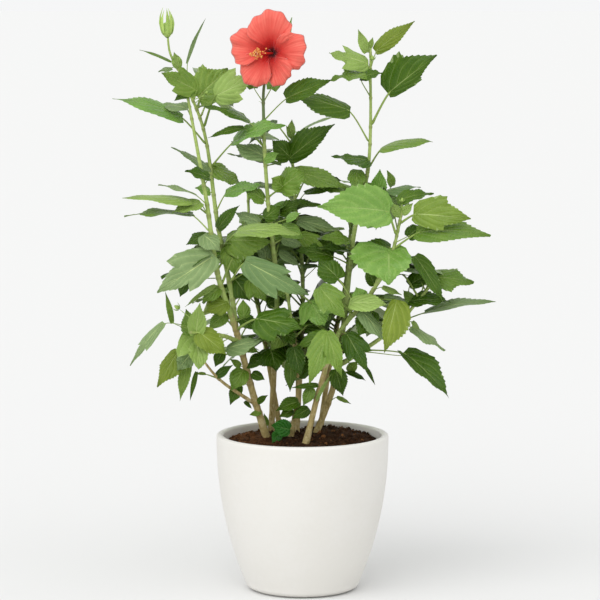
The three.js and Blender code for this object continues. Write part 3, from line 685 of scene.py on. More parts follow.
# Leaves
# Each row is read off the photograph: the pixel row where the stalk leaves its limb, the
# pixels of the blade's base and tip, how many mm these two stand nearer to the viewer than
# the limb, the blade's real width, how far its face turns from the sky (0) to the viewer
# (1), how deeply it is lobed, its kind, and by what share one half is wider than even.
# painted light and shade: a leaf's kind is partly its own green and partly matched to how bright it
# looks, lighter where other leaves shade it, darker where it sits in shade
Leaf = namedtuple("Leaf", "row basePixel tipPixel nearer width facing lobes kind lean", defaults=[0])
readLeaves = {
    "bud_bough": [
        Leaf(64, (169, 60), (139, 50), (2, 14), 10, 0.35, 0, "mid"),
        Leaf(69, (178, 67), (174, 52), (4, 6), 13, 0.90, 0, "young"),
        Leaf(66, (171, 68), (158, 72), (3, 12), 9, 0.50, 0, "grey"),
        Leaf(110, (203, 92), (228, 69), (-5, -12), 55, 0.85, 0.5, "mid"),
        Leaf(129, (217, 95), (254, 78), (15, 46), 45, 0.85, 0.7, "young", -0.15),
        Leaf(146, (178, 115), (112, 99), (25, 45), 36, 0.42, 0, "bright", -0.15),
        Leaf(168, (236, 140), (286, 126), (30, 60), 34, 0.44, 0, "bright", -0.1),
        Leaf(175, (208, 167), (171, 147), (5, 25), 24, 0.35, 0.2, "grey"),
        Leaf(171, (214, 169), (243, 185), (-5, -16), 31, 0.46, 0, "mid"),
        Leaf(195, (209, 191), (195, 188), (3, 12), 17, 0.60, 0, "bright"),
        Leaf(212, (228, 192), (264, 185), (8, 26), 28, 0.42, 0, "bright"),
        Leaf(230, (219, 227), (240, 205), (6, 14), 19, 0.65, 0, "dark"),
        Leaf(247, (241, 231), (300, 235), (35, 70), 38, 0.34, 0, "young"),
        Leaf(255, (230, 240), (271, 242), (10, 22), 43, 0.70, 0, "mid"),
        Leaf(258, (230, 248), (235, 276), (8, 20), 28, 0.75, 0, "mid"),
        Leaf(283, (249, 263), (309, 295), (45, 60), 43, 1.0, 0.8, "slate", 0.2),
        Leaf(300, (236, 280), (250, 301), (-6, 0), 31, 0.80, 0, "dark"),
    ],
    "left_stem": [
        Leaf(89, (188, 60), (206, 18), (2, 6), 6, 0.40, 0, "grey"),
        Leaf(90, (194, 89), (161, 73), (5, 26), 40, 0.75, 0.8, "mid"),
        Leaf(92, (192, 90), (174, 101), (4, 14), 16, 0.60, 0, "dark"),
        Leaf(119, (186, 108), (158, 106), (-6, -30), 25, 0.30, 0, "grey"),
        Leaf(186, (208, 177), (185, 171), (6, 18), 22, 0.50, 0, "dark"),
        Leaf(205, (194, 194), (158, 185), (8, 22), 21, 0.18, 0, "grey"),
        Leaf(215, (186, 200), (122, 198), (15, 35), 34, 0.24, 0.1, "young"),
        Leaf(217, (199, 203), (172, 213), (10, 28), 24, 0.42, 0, "young"),
        Leaf(233, (188, 213), (124, 217), (12, 30), 29, 0.22, 0.1, "mid", -0.1),
        Leaf(240, (206, 235), (186, 245), (-5, 4), 22, 0.50, 0.3, "dark"),
        Leaf(238, (205, 236), (220, 251), (4, 16), 26, 0.55, 0, "grey"),
        Leaf(262, (211, 258), (157, 293), (15, 58), 55, 0.80, 0.7, "grey", 0.16),
        Leaf(278, (186, 283), (180, 297), (10, 14), 14, 0.70, 0, "dark"),
        Leaf(285, (213, 287), (185, 307), (8, 22), 8, 0.60, 0, "young"),
        Leaf(290, (218, 289), (202, 303), (4, 14), 20, 0.70, 0, "mid"),
        Leaf(304, (226, 303), (204, 312), (6, 14), 24, 0.70, 0.3, "olive"),
        Leaf(316, (225, 314), (208, 330), (-4, 4), 20, 0.75, 0, "mid"),
        Leaf(322, (244, 317), (243, 299), (10, 14), 17, 0.80, 0, "mid"),
        Leaf(324, (241, 318), (258, 330), (-6, -4), 20, 0.60, 0, "dark"),
        Leaf(346, (242, 345), (259, 353), (4, 10), 14, 0.70, 0, "mid"),
        Leaf(330, (259, 319), (303, 329), (40, 70), 50, 0.62, 0.5, "dark"),
        Leaf(350, (229, 348), (263, 340), (15, 32), 26, 0.55, 0, "grey"),
        Leaf(355, (222, 353), (215, 367), (5, 10), 15, 0.80, 0, "dark"),
        Leaf(368, (240, 366), (230, 359), (4, 8), 9, 0.80, 0, "mid"),
        Leaf(372, (243, 371), (231, 391), (8, 25), 24, 0.80, 0, "mid"),
        Leaf(384, (238, 386), (230, 405), (6, 14), 17, 0.80, 0, "dark"),
        Leaf(378, (253, 373), (265, 380), (5, 10), 13, 0.70, 0, "dark"),
        Leaf(370, (247, 366), (263, 364), (4, 8), 9, 0.60, 0, "dark"),
        Leaf(404, (258, 402), (268, 395), (5, 8), 9, 0.70, 0, "dark"),
        Leaf(413, (260, 412), (249, 415), (5, 8), 8, 0.70, 0, "mid"),
    ],
    "low_left_bough": [
        Leaf(334, (172, 321), (165, 291), (6, 12), 8, 0.50, 0, "mid"),
        Leaf(333, (196, 334), (200, 303), (2, 10), 23, 0.85, 0, "young"),
        Leaf(334, (194, 336), (186, 309), (-4, -8), 26, 0.80, 0, "mid"),
        Leaf(334, (161, 325), (130, 366), (20, 30), 16, 0.50, 0.6, "grey"),
        Leaf(335, (196, 336), (200, 369), (6, 46), 58, 0.70, 0.9, "young"),
        Leaf(336, (190, 355), (177, 371), (10, 22), 22, 0.70, 0, "grey"),
        Leaf(331, (200, 333), (227, 355), (-6, 0), 31, 0.60, 0, "olive"),
        Leaf(337, (177, 353), (157, 387), (12, 34), 28, 0.70, 0.2, "olive", -0.1),
        Leaf(338, (188, 363), (180, 401), (8, 16), 15, 0.60, 0, "mid"),
    ],
    "left_twig_bough": [
        Leaf(379, (196, 374), (190, 401), (4, 8), 7, 0.50, 0, "dark"),
        Leaf(378, (205, 374), (195, 374), (3, 6), 5, 0.60, 0, "mid"),
        Leaf(379, (217, 375), (233, 365), (3, 6), 13, 0.60, 0, "dark"),
        Leaf(404, (245, 402), (252, 409), (3, 5), 6, 0.60, 0, "dark"),
    ],
    "bloom_stem": [
        Leaf(103, (253, 85), (246, 44), (-24, -30), 21, 0.80, 0, "mid"),
        Leaf(103, (273, 84), (292, 17), (-28, -34), 25, 0.95, 0, "bright"),
        Leaf(121, (289, 97), (332, 80), (12, 30), 26, 0.78, 0, "dark", -0.15),
        Leaf(140, (246, 119), (198, 106), (5, 10), 28, 0.24, 0, "dark"),
        Leaf(148, (241, 128), (208, 138), (8, 20), 15, 0.42, 0, "dark"),
        Leaf(147, (257, 137), (279, 140), (-6, -24), 28, 0.32, 0, "grey"),
        Leaf(160, (264, 156), (231, 142), (-6, -20), 29, 0.42, 0, "grey"),
        Leaf(166, (277, 163), (227, 154), (-12, -14), 27, 0.15, 0, "dark"),
        Leaf(163, (265, 160), (279, 153), (5, 12), 14, 0.70, 0, "bright"),
        Leaf(198, (283, 186), (306, 171), (10, 24), 36, 0.75, 0, "mid"),
        Leaf(198, (282, 186), (271, 178), (10, 20), 21, 0.80, 0, "mid"),
        Leaf(204, (263, 199), (243, 190), (5, 12), 22, 0.60, 0, "mid"),
        Leaf(222, (266, 217), (281, 206), (5, 10), 21, 0.70, 0, "dark"),
        Leaf(225, (287, 219), (301, 213), (12, 22), 13, 0.60, 0, "bright"),
        Leaf(228, (258, 222), (233, 212), (-4, -8), 20, 0.45, 0, "grey"),
        Leaf(229, (283, 227), (304, 239), (8, 22), 23, 0.65, 0, "mid"),
        Leaf(245, (284, 239), (302, 246), (-4, -10), 21, 0.50, 0, "grey"),
        Leaf(262, (266, 257), (262, 241), (-5, -12), 22, 0.60, 0.5, "grey"),
        Leaf(259, (281, 253), (303, 268), (-8, -16), 17, 0.45, 0, "grey"),
        Leaf(280, (312, 304), (324, 326), (28, 58), 52, 0.62, 0.75, "bright"),
        Leaf(286, (281, 283), (290, 302), (4, 14), 22, 0.80, 0, "mid"),
        Leaf(310, (268, 303), (288, 297), (-4, -8), 20, 0.60, 0, "dark"),
        Leaf(291, (252, 281), (266, 301), (20, 34), 33, 0.80, 0.6, "mid"),
        Leaf(330, (285, 330), (271, 351), (15, 22), 23, 0.80, 0, "mid"),
        Leaf(356, (271, 351), (276, 371), (14, 42), 43, 0.62, 0.2, "dark"),
        Leaf(358, (262, 357), (248, 366), (10, 20), 19, 0.60, 0, "dark"),
        Leaf(427, (267, 425), (264, 413), (4, 6), 7, 0.80, 0, "mid"),
    ],
    "centre_back_stem": [
        Leaf(137, (291, 136), (292, 119), (3, 5), 11, 0.90, 0, "young"),
        Leaf(137, (291, 137), (286, 125), (3, 9), 7, 0.90, 0, "young"),
        Leaf(168, (291, 157), (335, 124), (16, 36), 33, 0.80, 0.2, "dark", -0.3),
        Leaf(168, (289, 156), (272, 140), (14, 26), 28, 0.80, 0, "dark"),
        Leaf(152, (302, 131), (345, 116), (-5, -10), 15, 0.12, 0, "grey"),
        Leaf(186, (297, 172), (347, 188), (25, 50), 31, 0.55, 0, "mid"),
        Leaf(206, (307, 192), (340, 187), (5, 0), 20, 0.30, 0, "dark"),
        Leaf(216, (291, 208), (321, 205), (10, 24), 21, 0.46, 0, "dark"),
        Leaf(218, (282, 211), (303, 203), (12, 22), 24, 0.60, 0, "dark"),
        Leaf(236, (301, 221), (341, 233), (6, 12), 25, 0.50, 0, "grey"),
        Leaf(250, (300, 236), (325, 250), (20, 40), 28, 0.70, 0.7, "mid"),
        Leaf(280, (316, 265), (298, 268), (8, 14), 17, 0.22, 0, "grey"),
    ],
    "tall_right_stem": [
        Leaf(53, (366, 51), (358, 29), (3, 6), 13, 0.80, 0, "young"),
        Leaf(69, (378, 49), (415, 21), (8, 26), 21, 0.75, 0, "olive", -0.15),
        Leaf(72, (366, 63), (329, 53), (8, 26), 38, 0.62, 0.9, "young"),
        Leaf(55, (370, 47), (373, 37), (3, 6), 7, 0.80, 0, "young"),
        Leaf(98, (366, 75), (330, 80), (20, 32), 30, 0.40, 0.5, "mid"),
        Leaf(98, (362, 77), (383, 73), (20, 24), 22, 0.44, 0, "dark"),
        Leaf(127, (391, 91), (437, 55), (15, 40), 47, 0.88, 0.4, "dark", -0.4),
        Leaf(144, (346, 109), (290, 95), (15, 30), 32, 0.60, 0, "dark"),
        Leaf(169, (384, 147), (433, 142), (12, 25), 36, 0.25, 0, "mid"),
        Leaf(172, (367, 160), (331, 156), (5, 20), 27, 0.50, 0, "dark", -0.4),
        Leaf(176, (357, 171), (355, 192), (4, 20), 23, 0.85, 0.2, "mid"),
        Leaf(205, (378, 193), (380, 169), (8, 14), 22, 0.90, 0, "bright"),
        Leaf(205, (392, 185), (387, 170), (6, 12), 13, 0.50, 0, "mid"),
        Leaf(206, (379, 193), (421, 187), (15, 30), 28, 0.28, 0, "slate"),
        Leaf(248, (347, 240), (320, 238), (14, 25), 21, 0.50, 0, "mid"),
        Leaf(256, (350, 253), (315, 248), (12, 20), 26, 0.16, 0, "dark"),
        Leaf(265, (331, 256), (296, 250), (14, 20), 31, 0.50, 0, "dark"),
        Leaf(378, (349, 372), (366, 381), (15, 30), 10, 0.42, 0, "dark"),
        Leaf(385, (336, 371), (343, 396), (15, 25), 24, 0.80, 0, "dark"),
        Leaf(372, (349, 371), (358, 361), (6, 12), 13, 0.80, 0, "mid"),
        Leaf(403, (338, 397), (351, 404), (8, 12), 7, 0.50, 0, "mid"),
    ],
    "right_stem": [
        Leaf(211, (400, 200), (434, 194), (-4, -8), 24, 0.45, 0, "dark"),
        Leaf(214, (401, 214), (387, 203), (2, 8), 14, 0.75, 0, "young"),
        Leaf(214, (403, 213), (413, 203), (2, 6), 12, 0.75, 0, "young"),
        Leaf(224, (417, 214), (471, 219), (15, 40), 45, 0.86, 0.45, "yellow", -0.2),
        Leaf(236, (385, 211), (317, 207), (20, 50), 57, 0.80, 0, "bright", 0.12),
        Leaf(243, (410, 235), (422, 225), (-4, -6), 21, 0.60, 0, "dark"),
        Leaf(249, (421, 232), (491, 236), (12, 40), 42, 0.5, 0, "mid", -0.12),
        Leaf(250, (388, 247), (352, 248), (-8, -5), 28, 0.36, 0, "dark"),
        Leaf(258, (417, 259), (443, 302), (-5, 10), 25, 0.38, 0, "dark"),
        Leaf(262, (389, 254), (389, 285), (8, 36), 78, 0.85, 0, "bright", 0.3),
        Leaf(290, (384, 287), (402, 295), (6, 12), 10, 0.50, 0, "young"),
        Leaf(292, (374, 284), (366, 268), (-14, -16), 15, 0.70, 0, "dark"),
        Leaf(298, (361, 299), (356, 287), (6, 12), 21, 0.90, 0, "bright"),
        Leaf(300, (386, 297), (409, 303), (-14, -18), 21, 0.30, 0, "grey"),
        Leaf(300, (396, 303), (384, 353), (30, 55), 33, 0.82, 0, "olive", -0.35),
        Leaf(305, (363, 313), (387, 342), (20, 30), 22, 0.45, 0, "grey"),
        Leaf(306, (372, 313), (358, 337), (8, 25), 29, 0.70, 0, "dark"),
        Leaf(310, (336, 276), (318, 260), (5, -10), 34, 0.52, 0, "dark"),
        Leaf(312, (352, 303), (389, 305), (24, 40), 26, 0.60, 0, "young"),
        Leaf(314, (321, 289), (345, 318), (26, 44), 38, 0.80, 0.6, "mid"),
        Leaf(331, (348, 336), (367, 371), (24, 44), 36, 0.80, 0.8, "dark"),
        Leaf(338, (327, 335), (309, 384), (44, 66), 33, 0.90, 0.35, "mid"),
        Leaf(338, (328, 335), (342, 378), (44, 60), 24, 0.88, 0, "mid"),
        Leaf(338, (325, 335), (297, 346), (44, 50), 21, 0.80, 0, "dark"),
        Leaf(391, (316, 385), (291, 388), (5, 12), 9, 0.60, 0, "dark"),
        Leaf(394, (311, 389), (303, 406), (4, 8), 15, 0.90, 0, "mid"),
        Leaf(399, (317, 399), (332, 373), (4, 8), 6, 0.50, 0, "young"),
    ],
    "centre_stem": [
        Leaf(352, (294, 349), (301, 377), (15, 20), 23, 0.90, 0, "dark"),
        Leaf(366, (291, 362), (290, 392), (6, 12), 16, 0.85, 0, "dark"),
        Leaf(414, (292, 410), (279, 417), (12, 18), 13, 0.80, 0, "dark"),
        Leaf(340, (286, 333), (296, 345), (10, 16), 17, 0.80, 0, "dark"),
        Leaf(336, (306, 328), (330, 320), (-4, -10), 22, 0.60, 0, "dark"),
        Leaf(408, (297, 402), (276, 411), (10, 20), 20, 0.62, 0, "dark"),
        Leaf(415, (308, 409), (292, 419), (14, 26), 16, 0.80, 0, "dark"),
        Leaf(430, (288, 429), (271, 425), (24, 34), 22, 0.90, 0, "deep"),
        Leaf(431, (280, 432), (272, 443), (18, 26), 14, 0.85, 0, "deep"),
    ],
    "far_right_bough": [
        Leaf(294, (434, 277), (474, 283), (5, 20), 34, 0.62, 0.3, "mid"),
        Leaf(312, (411, 284), (431, 273), (0, -5), 24, 0.60, 0, "dark"),
        Leaf(313, (412, 301), (451, 302), (8, 24), 27, 0.45, 0, "dark"),
        Leaf(313, (413, 302), (403, 290), (4, 8), 15, 0.60, 0, "mid"),
        Leaf(322, (430, 311), (496, 302), (12, 30), 31, 0.22, 0, "grey"),
        Leaf(325, (414, 328), (445, 351), (8, 20), 22, 0.28, 0, "grey"),
        Leaf(326, (413, 322), (420, 334), (6, 8), 7, 0.60, 0, "young"),
        Leaf(350, (407, 355), (449, 398), (25, 58), 31, 0.50, 0.1, "dark", -0.4),
        Leaf(352, (403, 354), (397, 350), (24, 26), 5, 0.50, 0, "mid"),
        Leaf(362, (366, 368), (375, 385), (10, 12), 6, 0.50, 0, "dark"),
    ],
}

# The limbs also carry leaves that the photograph hides or hardly shows, by a seeded rule:
# joints at even steps, each turned by the golden angle from the one below. Each limb has the
# heights of its first and last joint and the number of joints that are tried.
ruleLeaves = {
    "left_stem": (300, 620, 135), "bud_bough": (345, 640, 120), "bloom_stem": (290, 610, 135),
    "centre_stem": (240, 384, 46), "centre_back_stem": (280, 580, 135),
    "right_stem": (300, 490, 105), "tall_right_stem": (290, 620, 150),
    "far_right_bough": (296, 386, 46), "low_left_bough": (322, 337, 14),
    "back_left_stem": (270, 500, 150), "back_right_stem": (270, 486, 150),
}

# How those leaves grow, and what decides whether one stays: the share of it that leaves of the
# photograph cover, the share of those that it may hide, and the share of its stalk they cover.
growth = {
    "seed": 29, "goldenAngle": 137.5, "stalk": (20, 46), "stalkRise": (20, 62),
    "blade": (44, 78), "bladeRise": (-42, 12), "widthShare": (0.52, 0.72),
    "jointPlay": (-3, 3), "bladeTurn": (-30, 30), "outward": 0.35, "faceJitter": 0.3,
    "topShrink": 0.22, "shrinkHeights": (480, 640), "lobes": (0.2, 0.8), "lobedShare": 0.3,
    "shadeDepth": 20, "shadeHeight": 420,  # further back or lower, a leaf is of the shade
    # painted shade: the kinds for a leaf in shade hold more of the dark greens than those for a lit
    # leaf
    "paintedShadeKinds": [0.04, 0.02, 0.14, 0.3, 0.06, 0.14, 0.3],
    "lightKinds": [0.1, 0.05, 0.24, 0.3, 0.05, 0.14, 0.12],
    "coverCell": 4, "coverNeeded": 0.95, "mayHide": 0.05, "hideDepth": 2, "stalkHidden": 0.6,
    "stalkShares": (0.2, 1, 9), "limbHalf": 1.5, "depths": (-100, 196), "clearOfPot": 212,
    "coverTeeth": 18, "coverColumns": 21, "triedColumns": 13,
}

# The shape of a blade. Pairs are the limits of a draw. The two outlines, plain and lobed, give
# the half width and how far it lies ahead, at shares along the length; the base of a blade
# that is wide for its length reaches further back, as a heart's does.
blade = {
    "thickness": 0.5, "teeth": 10, "fewTeeth": 5, "toothDepth": 0.05, "toothForward": 0.016,
    "fold": (-6, 22), "curl": (0.05, 0.3), "arch": (0.015, 0.075), "waves": (1.2, 2.8),
    "waveHeight": (0.02, 0.09), "twist": (-14, 14), "lopsided": 0.07, "untwisted": 0.2,
    "smoothRows": [0, 0.03, 0.09], "notches": (0.15, 0.93), "pointShare": 0.68, "lastPoint": 0.975,
    "toothStart": (0.1, 0.3), "waveStart": (0, 0.2), "halfPhase": 2.2, "reachPower": 1.4,
    "heartFrom": 0.75, "heartMost": 0.5, "heartGain": 3.6, "mapMargin": 0.06,
    "along": [0, 0.03, 0.09, 0.18, 0.28, 0.36, 0.42, 0.50, 0.60, 0.74, 0.88, 0.96, 1],
    "plainWidth": [0, 0.5, 0.8, 0.97, 1.0, 0.97, 0.92, 0.83, 0.67, 0.41, 0.16, 0.06, 0],
    "plainForward": [-0.08, -0.13, -0.1, -0.03, 0.02, 0.04, 0.05, 0.05, 0.04, 0.02, 0, 0, 0],
    "lobedWidth": [0, 0.36, 0.6, 0.74, 0.88, 1.0, 0.62, 0.4, 0.42, 0.36, 0.2, 0.08, 0],
    "lobedForward": [-0.07, -0.11, -0.08, 0.0, 0.14, 0.32, 0.2, 0.04, 0.0, 0, 0, 0, 0],
}

# A stalk thins with its blade's width. Its bracts are the pair of stipules at its foot.
stalk = {
    "radius": 1.45, "endRadius": 1.05, "rows": 10, "columns": 7, "leave": 0.36, "arrive": 0.2,
    "upturn": 0.08, "inside": 1.2, "fullWidth": 42, "thickness": (0.45, 1.12), "footSwell": 0.5,
    "toneSeed": 5, "bractSeed": 6, "bractLength": (4.5, 8.5), "bractRadius": 0.42,
    "bractRows": 5, "bractColumns": 5, "bractSpread": 0.6, "bractUpturn": 0.9, "bractGap": 0.5,
    "shade": paint(112, 138, 56), "light": paint(166, 188, 100), "brown": paint(120, 120, 66),
}


def bladeRows(teeth):
    # Shares of the length: a smooth base, then a notch and a point for each tooth.
    notches = np.linspace(*blade["notches"], teeth)
    points = notches + blade["pointShare"] * (notches[1] - notches[0])
    pairs = np.stack([notches, points], 1).ravel()
    rows = np.concatenate([blade["smoothRows"], pairs, [1]])
    rows[-2] = min(rows[-2], blade["lastPoint"])
    isPoint = np.zeros(len(rows))
    isPoint[len(blade["smoothRows"]) + 1:-1:2] = 1
    return rows, isPoint


def perLeaf(values):
    # One value for each leaf, to be used all over its grid.
    return values[:, None, None]


def growBlades(leaves, teeth, columns, firstCell=0, cells=1):
    # Midrib: the straight line from base to tip, raised by arch * length * 4u(1 - u).
    # Across it: half width * outline(u) * v, lifted by the fold, lowered by the curl, and
    # waved along its edge. In the baked map each side of each leaf has its own square.
    rows, isPoint = bladeRows(teeth)
    u = rows[None, :, None]
    v = np.array(columns)[None, None, :]
    far = np.abs(v)
    chord = leaves.tip - leaves.base
    length = np.linalg.norm(chord, axis=1)
    along = unit(chord)
    face = unit(leaves.facing - (leaves.facing * along).sum(1, keepdims=True) * along)
    side = np.cross(along, face)

    # the outline: its half width and how far it lies ahead, both with teeth at the edge
    lobes = leaves.lobes[:, None]
    outline, forward = [
        (np.interp(rows, blade["along"], blade["plain" + part]) * (1 - lobes)
         + np.interp(rows, blade["along"], blade["lobed" + part]) * lobes)[..., None]
        for part in ("Width", "Forward")
    ]
    edge = (far == 1) * isPoint[None, :, None] * smooth(u, *blade["toothStart"])
    wide = np.clip(leaves.width / length - blade["heartFrom"], 0, blade["heartMost"])
    forward = forward * np.where(forward < 0, 1 + blade["heartGain"] * perLeaf(wide), 1)
    spread = perLeaf(leaves.width / 2) * outline
    lean = 1 + perLeaf(leaves.lopsided) * np.sign(v)
    x = spread * v * lean * (1 + blade["toothDepth"] * (2 - lobes[..., None]) * edge)
    ahead = forward * far ** blade["reachPower"] + blade["toothForward"] * edge
    ahead = perLeaf(length) * ahead

    # the height over the midrib
    fold = perLeaf(np.radians(leaves.fold)) * np.ones_like(u)
    phase = perLeaf(leaves.phase) + blade["halfPhase"] * (v < 0)
    wave = np.sin(turn * perLeaf(leaves.waves) * u + phase)
    wave = wave * far**2 * smooth(u, *blade["waveStart"])
    lift = np.abs(x) * np.sin(fold) - spread * perLeaf(leaves.curl) * far**2
    lift = lift + perLeaf(leaves.width) * perLeaf(leaves.waveHeight) * wave
    x = x * np.cos(fold)

    # the midrib and the directions square to it, which twist towards the tip
    rise = perLeaf(leaves.arch * length)
    middle = leaves.base[:, None] + chord[:, None] * u + face[:, None] * rise * 4 * u * (1 - u)
    ribward = unit(chord[:, None] + face[:, None] * rise * 4 * (1 - 2 * u))
    outward = np.cross(side[:, None], ribward)
    twist = perLeaf(np.radians(leaves.twist)) * (u - blade["untwisted"])
    across = side[:, None] * np.cos(twist) + outward * np.sin(twist)
    out = outward * np.cos(twist) - side[:, None] * np.sin(twist)
    points = (middle[:, :, None] + across[:, :, None] * x[..., None]
              + out[:, :, None] * lift[..., None] + ribward[:, :, None] * ahead[..., None])
    inner = (far < 1) * (u > 0) * (u < 1)
    half = blade["thickness"] / 2 * inner[..., None] * out[:, :, None]
    points = np.stack([points + half, points - half], 1)
    count, sheets, rowCount, columnCount, _ = points.shape

    own = np.stack(np.broadcast_arrays(u, (v + 1) / 2), -1)
    own = np.broadcast_to(own, (count, sheets, rowCount, columnCount, 2))
    number = np.arange(2 * count).reshape(count, 2, 1, 1) + 2 * firstCell
    corner = np.stack([number % cells, number // cells], -1)
    baked = (corner + blade["mapMargin"] + (1 - 2 * blade["mapMargin"]) * own) / cells
    return SimpleNamespace(
        points=points.reshape(count, -1, 3), own=own.reshape(count, -1, 2),
        baked=baked.reshape(count, -1, 2), ribStart=ribward[:, 0],
        underside=np.repeat([0.0, 1.0], rowCount * columnCount),
        rim=np.tile(~np.broadcast_to(inner[0], (rowCount, columnCount)), (2, 1)).ravel(),
        plan=shellPlan(rowCount, columnCount),
    )


fineColumns = [-1, -0.8, -0.52, -0.24, 0, 0.24, 0.52, 0.8, 1]
plainColumns = [-1, -0.5, 0, 0.5, 1]
leafKinds = ["young", "yellow", "bright", "mid", "olive", "grey", "dark", "deep", "slate"]


def gather(rows):
    # One array for each property of a list of leaves.
    keys = rows[0].keys()
    return SimpleNamespace(**{key: np.array([row[key] for row in rows]) for key in keys})


def drawBlade(draw):
    values = {key: draw.uniform(*blade[key])
              for key in ("fold", "curl", "arch", "waves", "waveHeight", "twist")}
    values["phase"] = draw.uniform(0, turn)
    values["lopsided"] = blade["lopsided"] * draw.uniform(-1, 1)
    values["tone"] = draw.uniform(0, 1)
    return values


def readLeafRows():
    draw = np.random.default_rng(growth["seed"])
    rows = []
    for name, leaves in readLeaves.items():
        for leaf in leaves:
            joint = rowOn(limbs[name], leaf.row)
            rows.append({
                "limb": name, "joint": joint,
                "base": placeOfPixel(leaf.basePixel, joint[1] - leaf.nearer[0]),
                "tip": placeOfPixel(leaf.tipPixel, joint[1] - leaf.nearer[1]),
                "facing": (1 - leaf.facing) * upward + leaf.facing * towardViewer,
                "width": leaf.width, "lobes": leaf.lobes, "kind": leaf.kind,
                **drawBlade(draw),
            })
            rows[-1]["lopsided"] += leaf.lean
    return rows


def compass(degrees, rise):
    # The unit vector of a bearing and a rise.
    bearing, rise = np.radians(degrees), np.radians(rise)
    return np.array([np.cos(rise) * np.cos(bearing), np.cos(rise) * np.sin(bearing), np.sin(rise)])


def ruleLeafRows():
    draw = np.random.default_rng(growth["seed"] + 1)
    rows = []
    for name, (lowest, highest, tries) in ruleLeaves.items():
        bearing = draw.uniform(0, 360)
        for height in np.linspace(lowest, highest, tries):
            bearing += growth["goldenAngle"]
            joint = pointOn(limbs[name], height + draw.uniform(*growth["jointPlay"]))
            stalkRise = draw.uniform(*growth["stalkRise"])
            base = joint + draw.uniform(*growth["stalk"]) * compass(bearing, stalkRise)
            size = draw.uniform(*growth["blade"])
            size = size * (1.0 - growth["topShrink"] * smooth(height, *growth["shrinkHeights"]))
            bladeBearing = bearing + draw.uniform(*growth["bladeTurn"])
            heading = compass(bladeBearing, draw.uniform(*growth["bladeRise"]))
            facing = upward + growth["outward"] * compass(bearing, 0)
            facing = facing + growth["faceJitter"] * draw.normal(size=3)
            # painted shade: a leaf further back or lower draws a darker kind
            shaded = height < growth["shadeHeight"] or base[1] > growth["shadeDepth"]
            chances = growth["paintedShadeKinds" if shaded else "lightKinds"]
            kind = leafKinds[np.searchsorted(np.cumsum(chances), draw.uniform(0, sum(chances)))]
            width = size * draw.uniform(*growth["widthShare"])
            lobes = draw.uniform(*growth["lobes"]) * (draw.uniform() < growth["lobedShare"])
            rows.append({
                "limb": name, "joint": joint, "base": base, "tip": base + size * heading,
                "facing": facing, "width": width, "lobes": lobes, "kind": kind,
                **drawBlade(draw),
            })
    return rows


def nearestMap(points):
    # For each small square of the photograph's frame, how near to the viewer points come.
    size = photoCamera["frame"] // growth["coverCell"]
    nearest = np.full((size, size), np.inf)
    across, down = squaresOf(points)
    np.minimum.at(nearest, (down.ravel(), across.ravel()), points[..., 1].ravel())
    return nearest


def squaresOf(points):
    # The square of the photograph's frame in which each point shows.
    size = photoCamera["frame"] // growth["coverCell"]
    spots = (pixelOfPlace(points) / growth["coverCell"]).astype(int).clip(0, size - 1)
    return spots[..., 0], spots[..., 1]


def keptRuleRows(read, rows):
    # A leaf of the rule stays where leaves of the photograph stand in front of it, so that
    # the sky and the limbs show where they do there, and where it is clear of the pot.
    coverColumns = np.linspace(-1, 1, growth["coverColumns"])
    leafMap = nearestMap(growBlades(gather(read), growth["coverTeeth"], coverColumns).points)
    shift = growth["limbHalf"] * np.array([[-1.0, 0, 0], [0, 0, 0], [1.0, 0, 0]])[:, None]
    limbMap = nearestMap(np.concatenate([limb["curve"] + shift for limb in limbs.values()], 1))
    limbMap[limbMap > leafMap] = -np.inf  # hidden by a leaf
    limbMap[np.isinf(limbMap)] = -np.inf  # or no limb there
    leaves = gather(rows)
    points = growBlades(leaves, blade["teeth"], np.linspace(-1, 1, growth["triedColumns"])).points
    across, down = squaresOf(points)
    depth, height = points[..., 1], points[..., 2]
    covered = np.isfinite(leafMap[down, across]).mean(1)
    hides = (depth < leafMap[down, across] - growth["hideDepth"]).mean(1) - (1 - covered)
    share = np.linspace(*growth["stalkShares"])[None, :, None]
    stalks = leaves.joint[:, None] * (1 - share) + leaves.base[:, None] * share
    stalkAcross, stalkDown = squaresOf(stalks)
    hidden = np.isfinite(leafMap[stalkDown, stalkAcross]).mean(1)
    nearest, furthest = growth["depths"]
    keep = (covered >= growth["coverNeeded"]) & (hides <= growth["mayHide"])
    keep &= (hidden >= growth["stalkHidden"]) & ~(depth < limbMap[down, across]).any(1)
    keep &= (depth.min(1) > nearest) & (depth.max(1) < furthest)
    keep &= height.min(1) > growth["clearOfPot"]
    return [row for row, stays in zip(rows, keep) if stays]


# Leaf finishes
leafPaint = {  # shaded green, light green, how pale the veins are, roughness, shine
    "young": (paint(120, 148, 64), paint(156, 184, 96), 0.6, 0.38, 0.42),
    "yellow": (paint(98, 124, 34), paint(128, 154, 54), 0.6, 0.32, 0.38),
    "bright": (paint(92, 136, 48), paint(140, 178, 84), 0.3, 0.24, 0.42),
    "mid": (paint(84, 118, 34), paint(128, 156, 60), 0.3, 0.28, 0.36),
    "olive": (paint(94, 118, 28), paint(126, 144, 46), 0.36, 0.34, 0.3),
    "grey": (paint(100, 126, 72), paint(142, 166, 110), 0.8, 0.4, 0.38),
    "dark": (paint(46, 80, 10), paint(84, 114, 26), 0.34, 0.24, 0.24),
    "deep": (paint(34, 92, 20), paint(54, 120, 34), 0.2, 0.24, 0.28),
    "slate": (paint(80, 110, 58), paint(112, 140, 84), 0.6, 0.4, 0.34),
}
leafUnder = paint(156, 174, 122)
leafVeinPaint = paint(196, 214, 140)


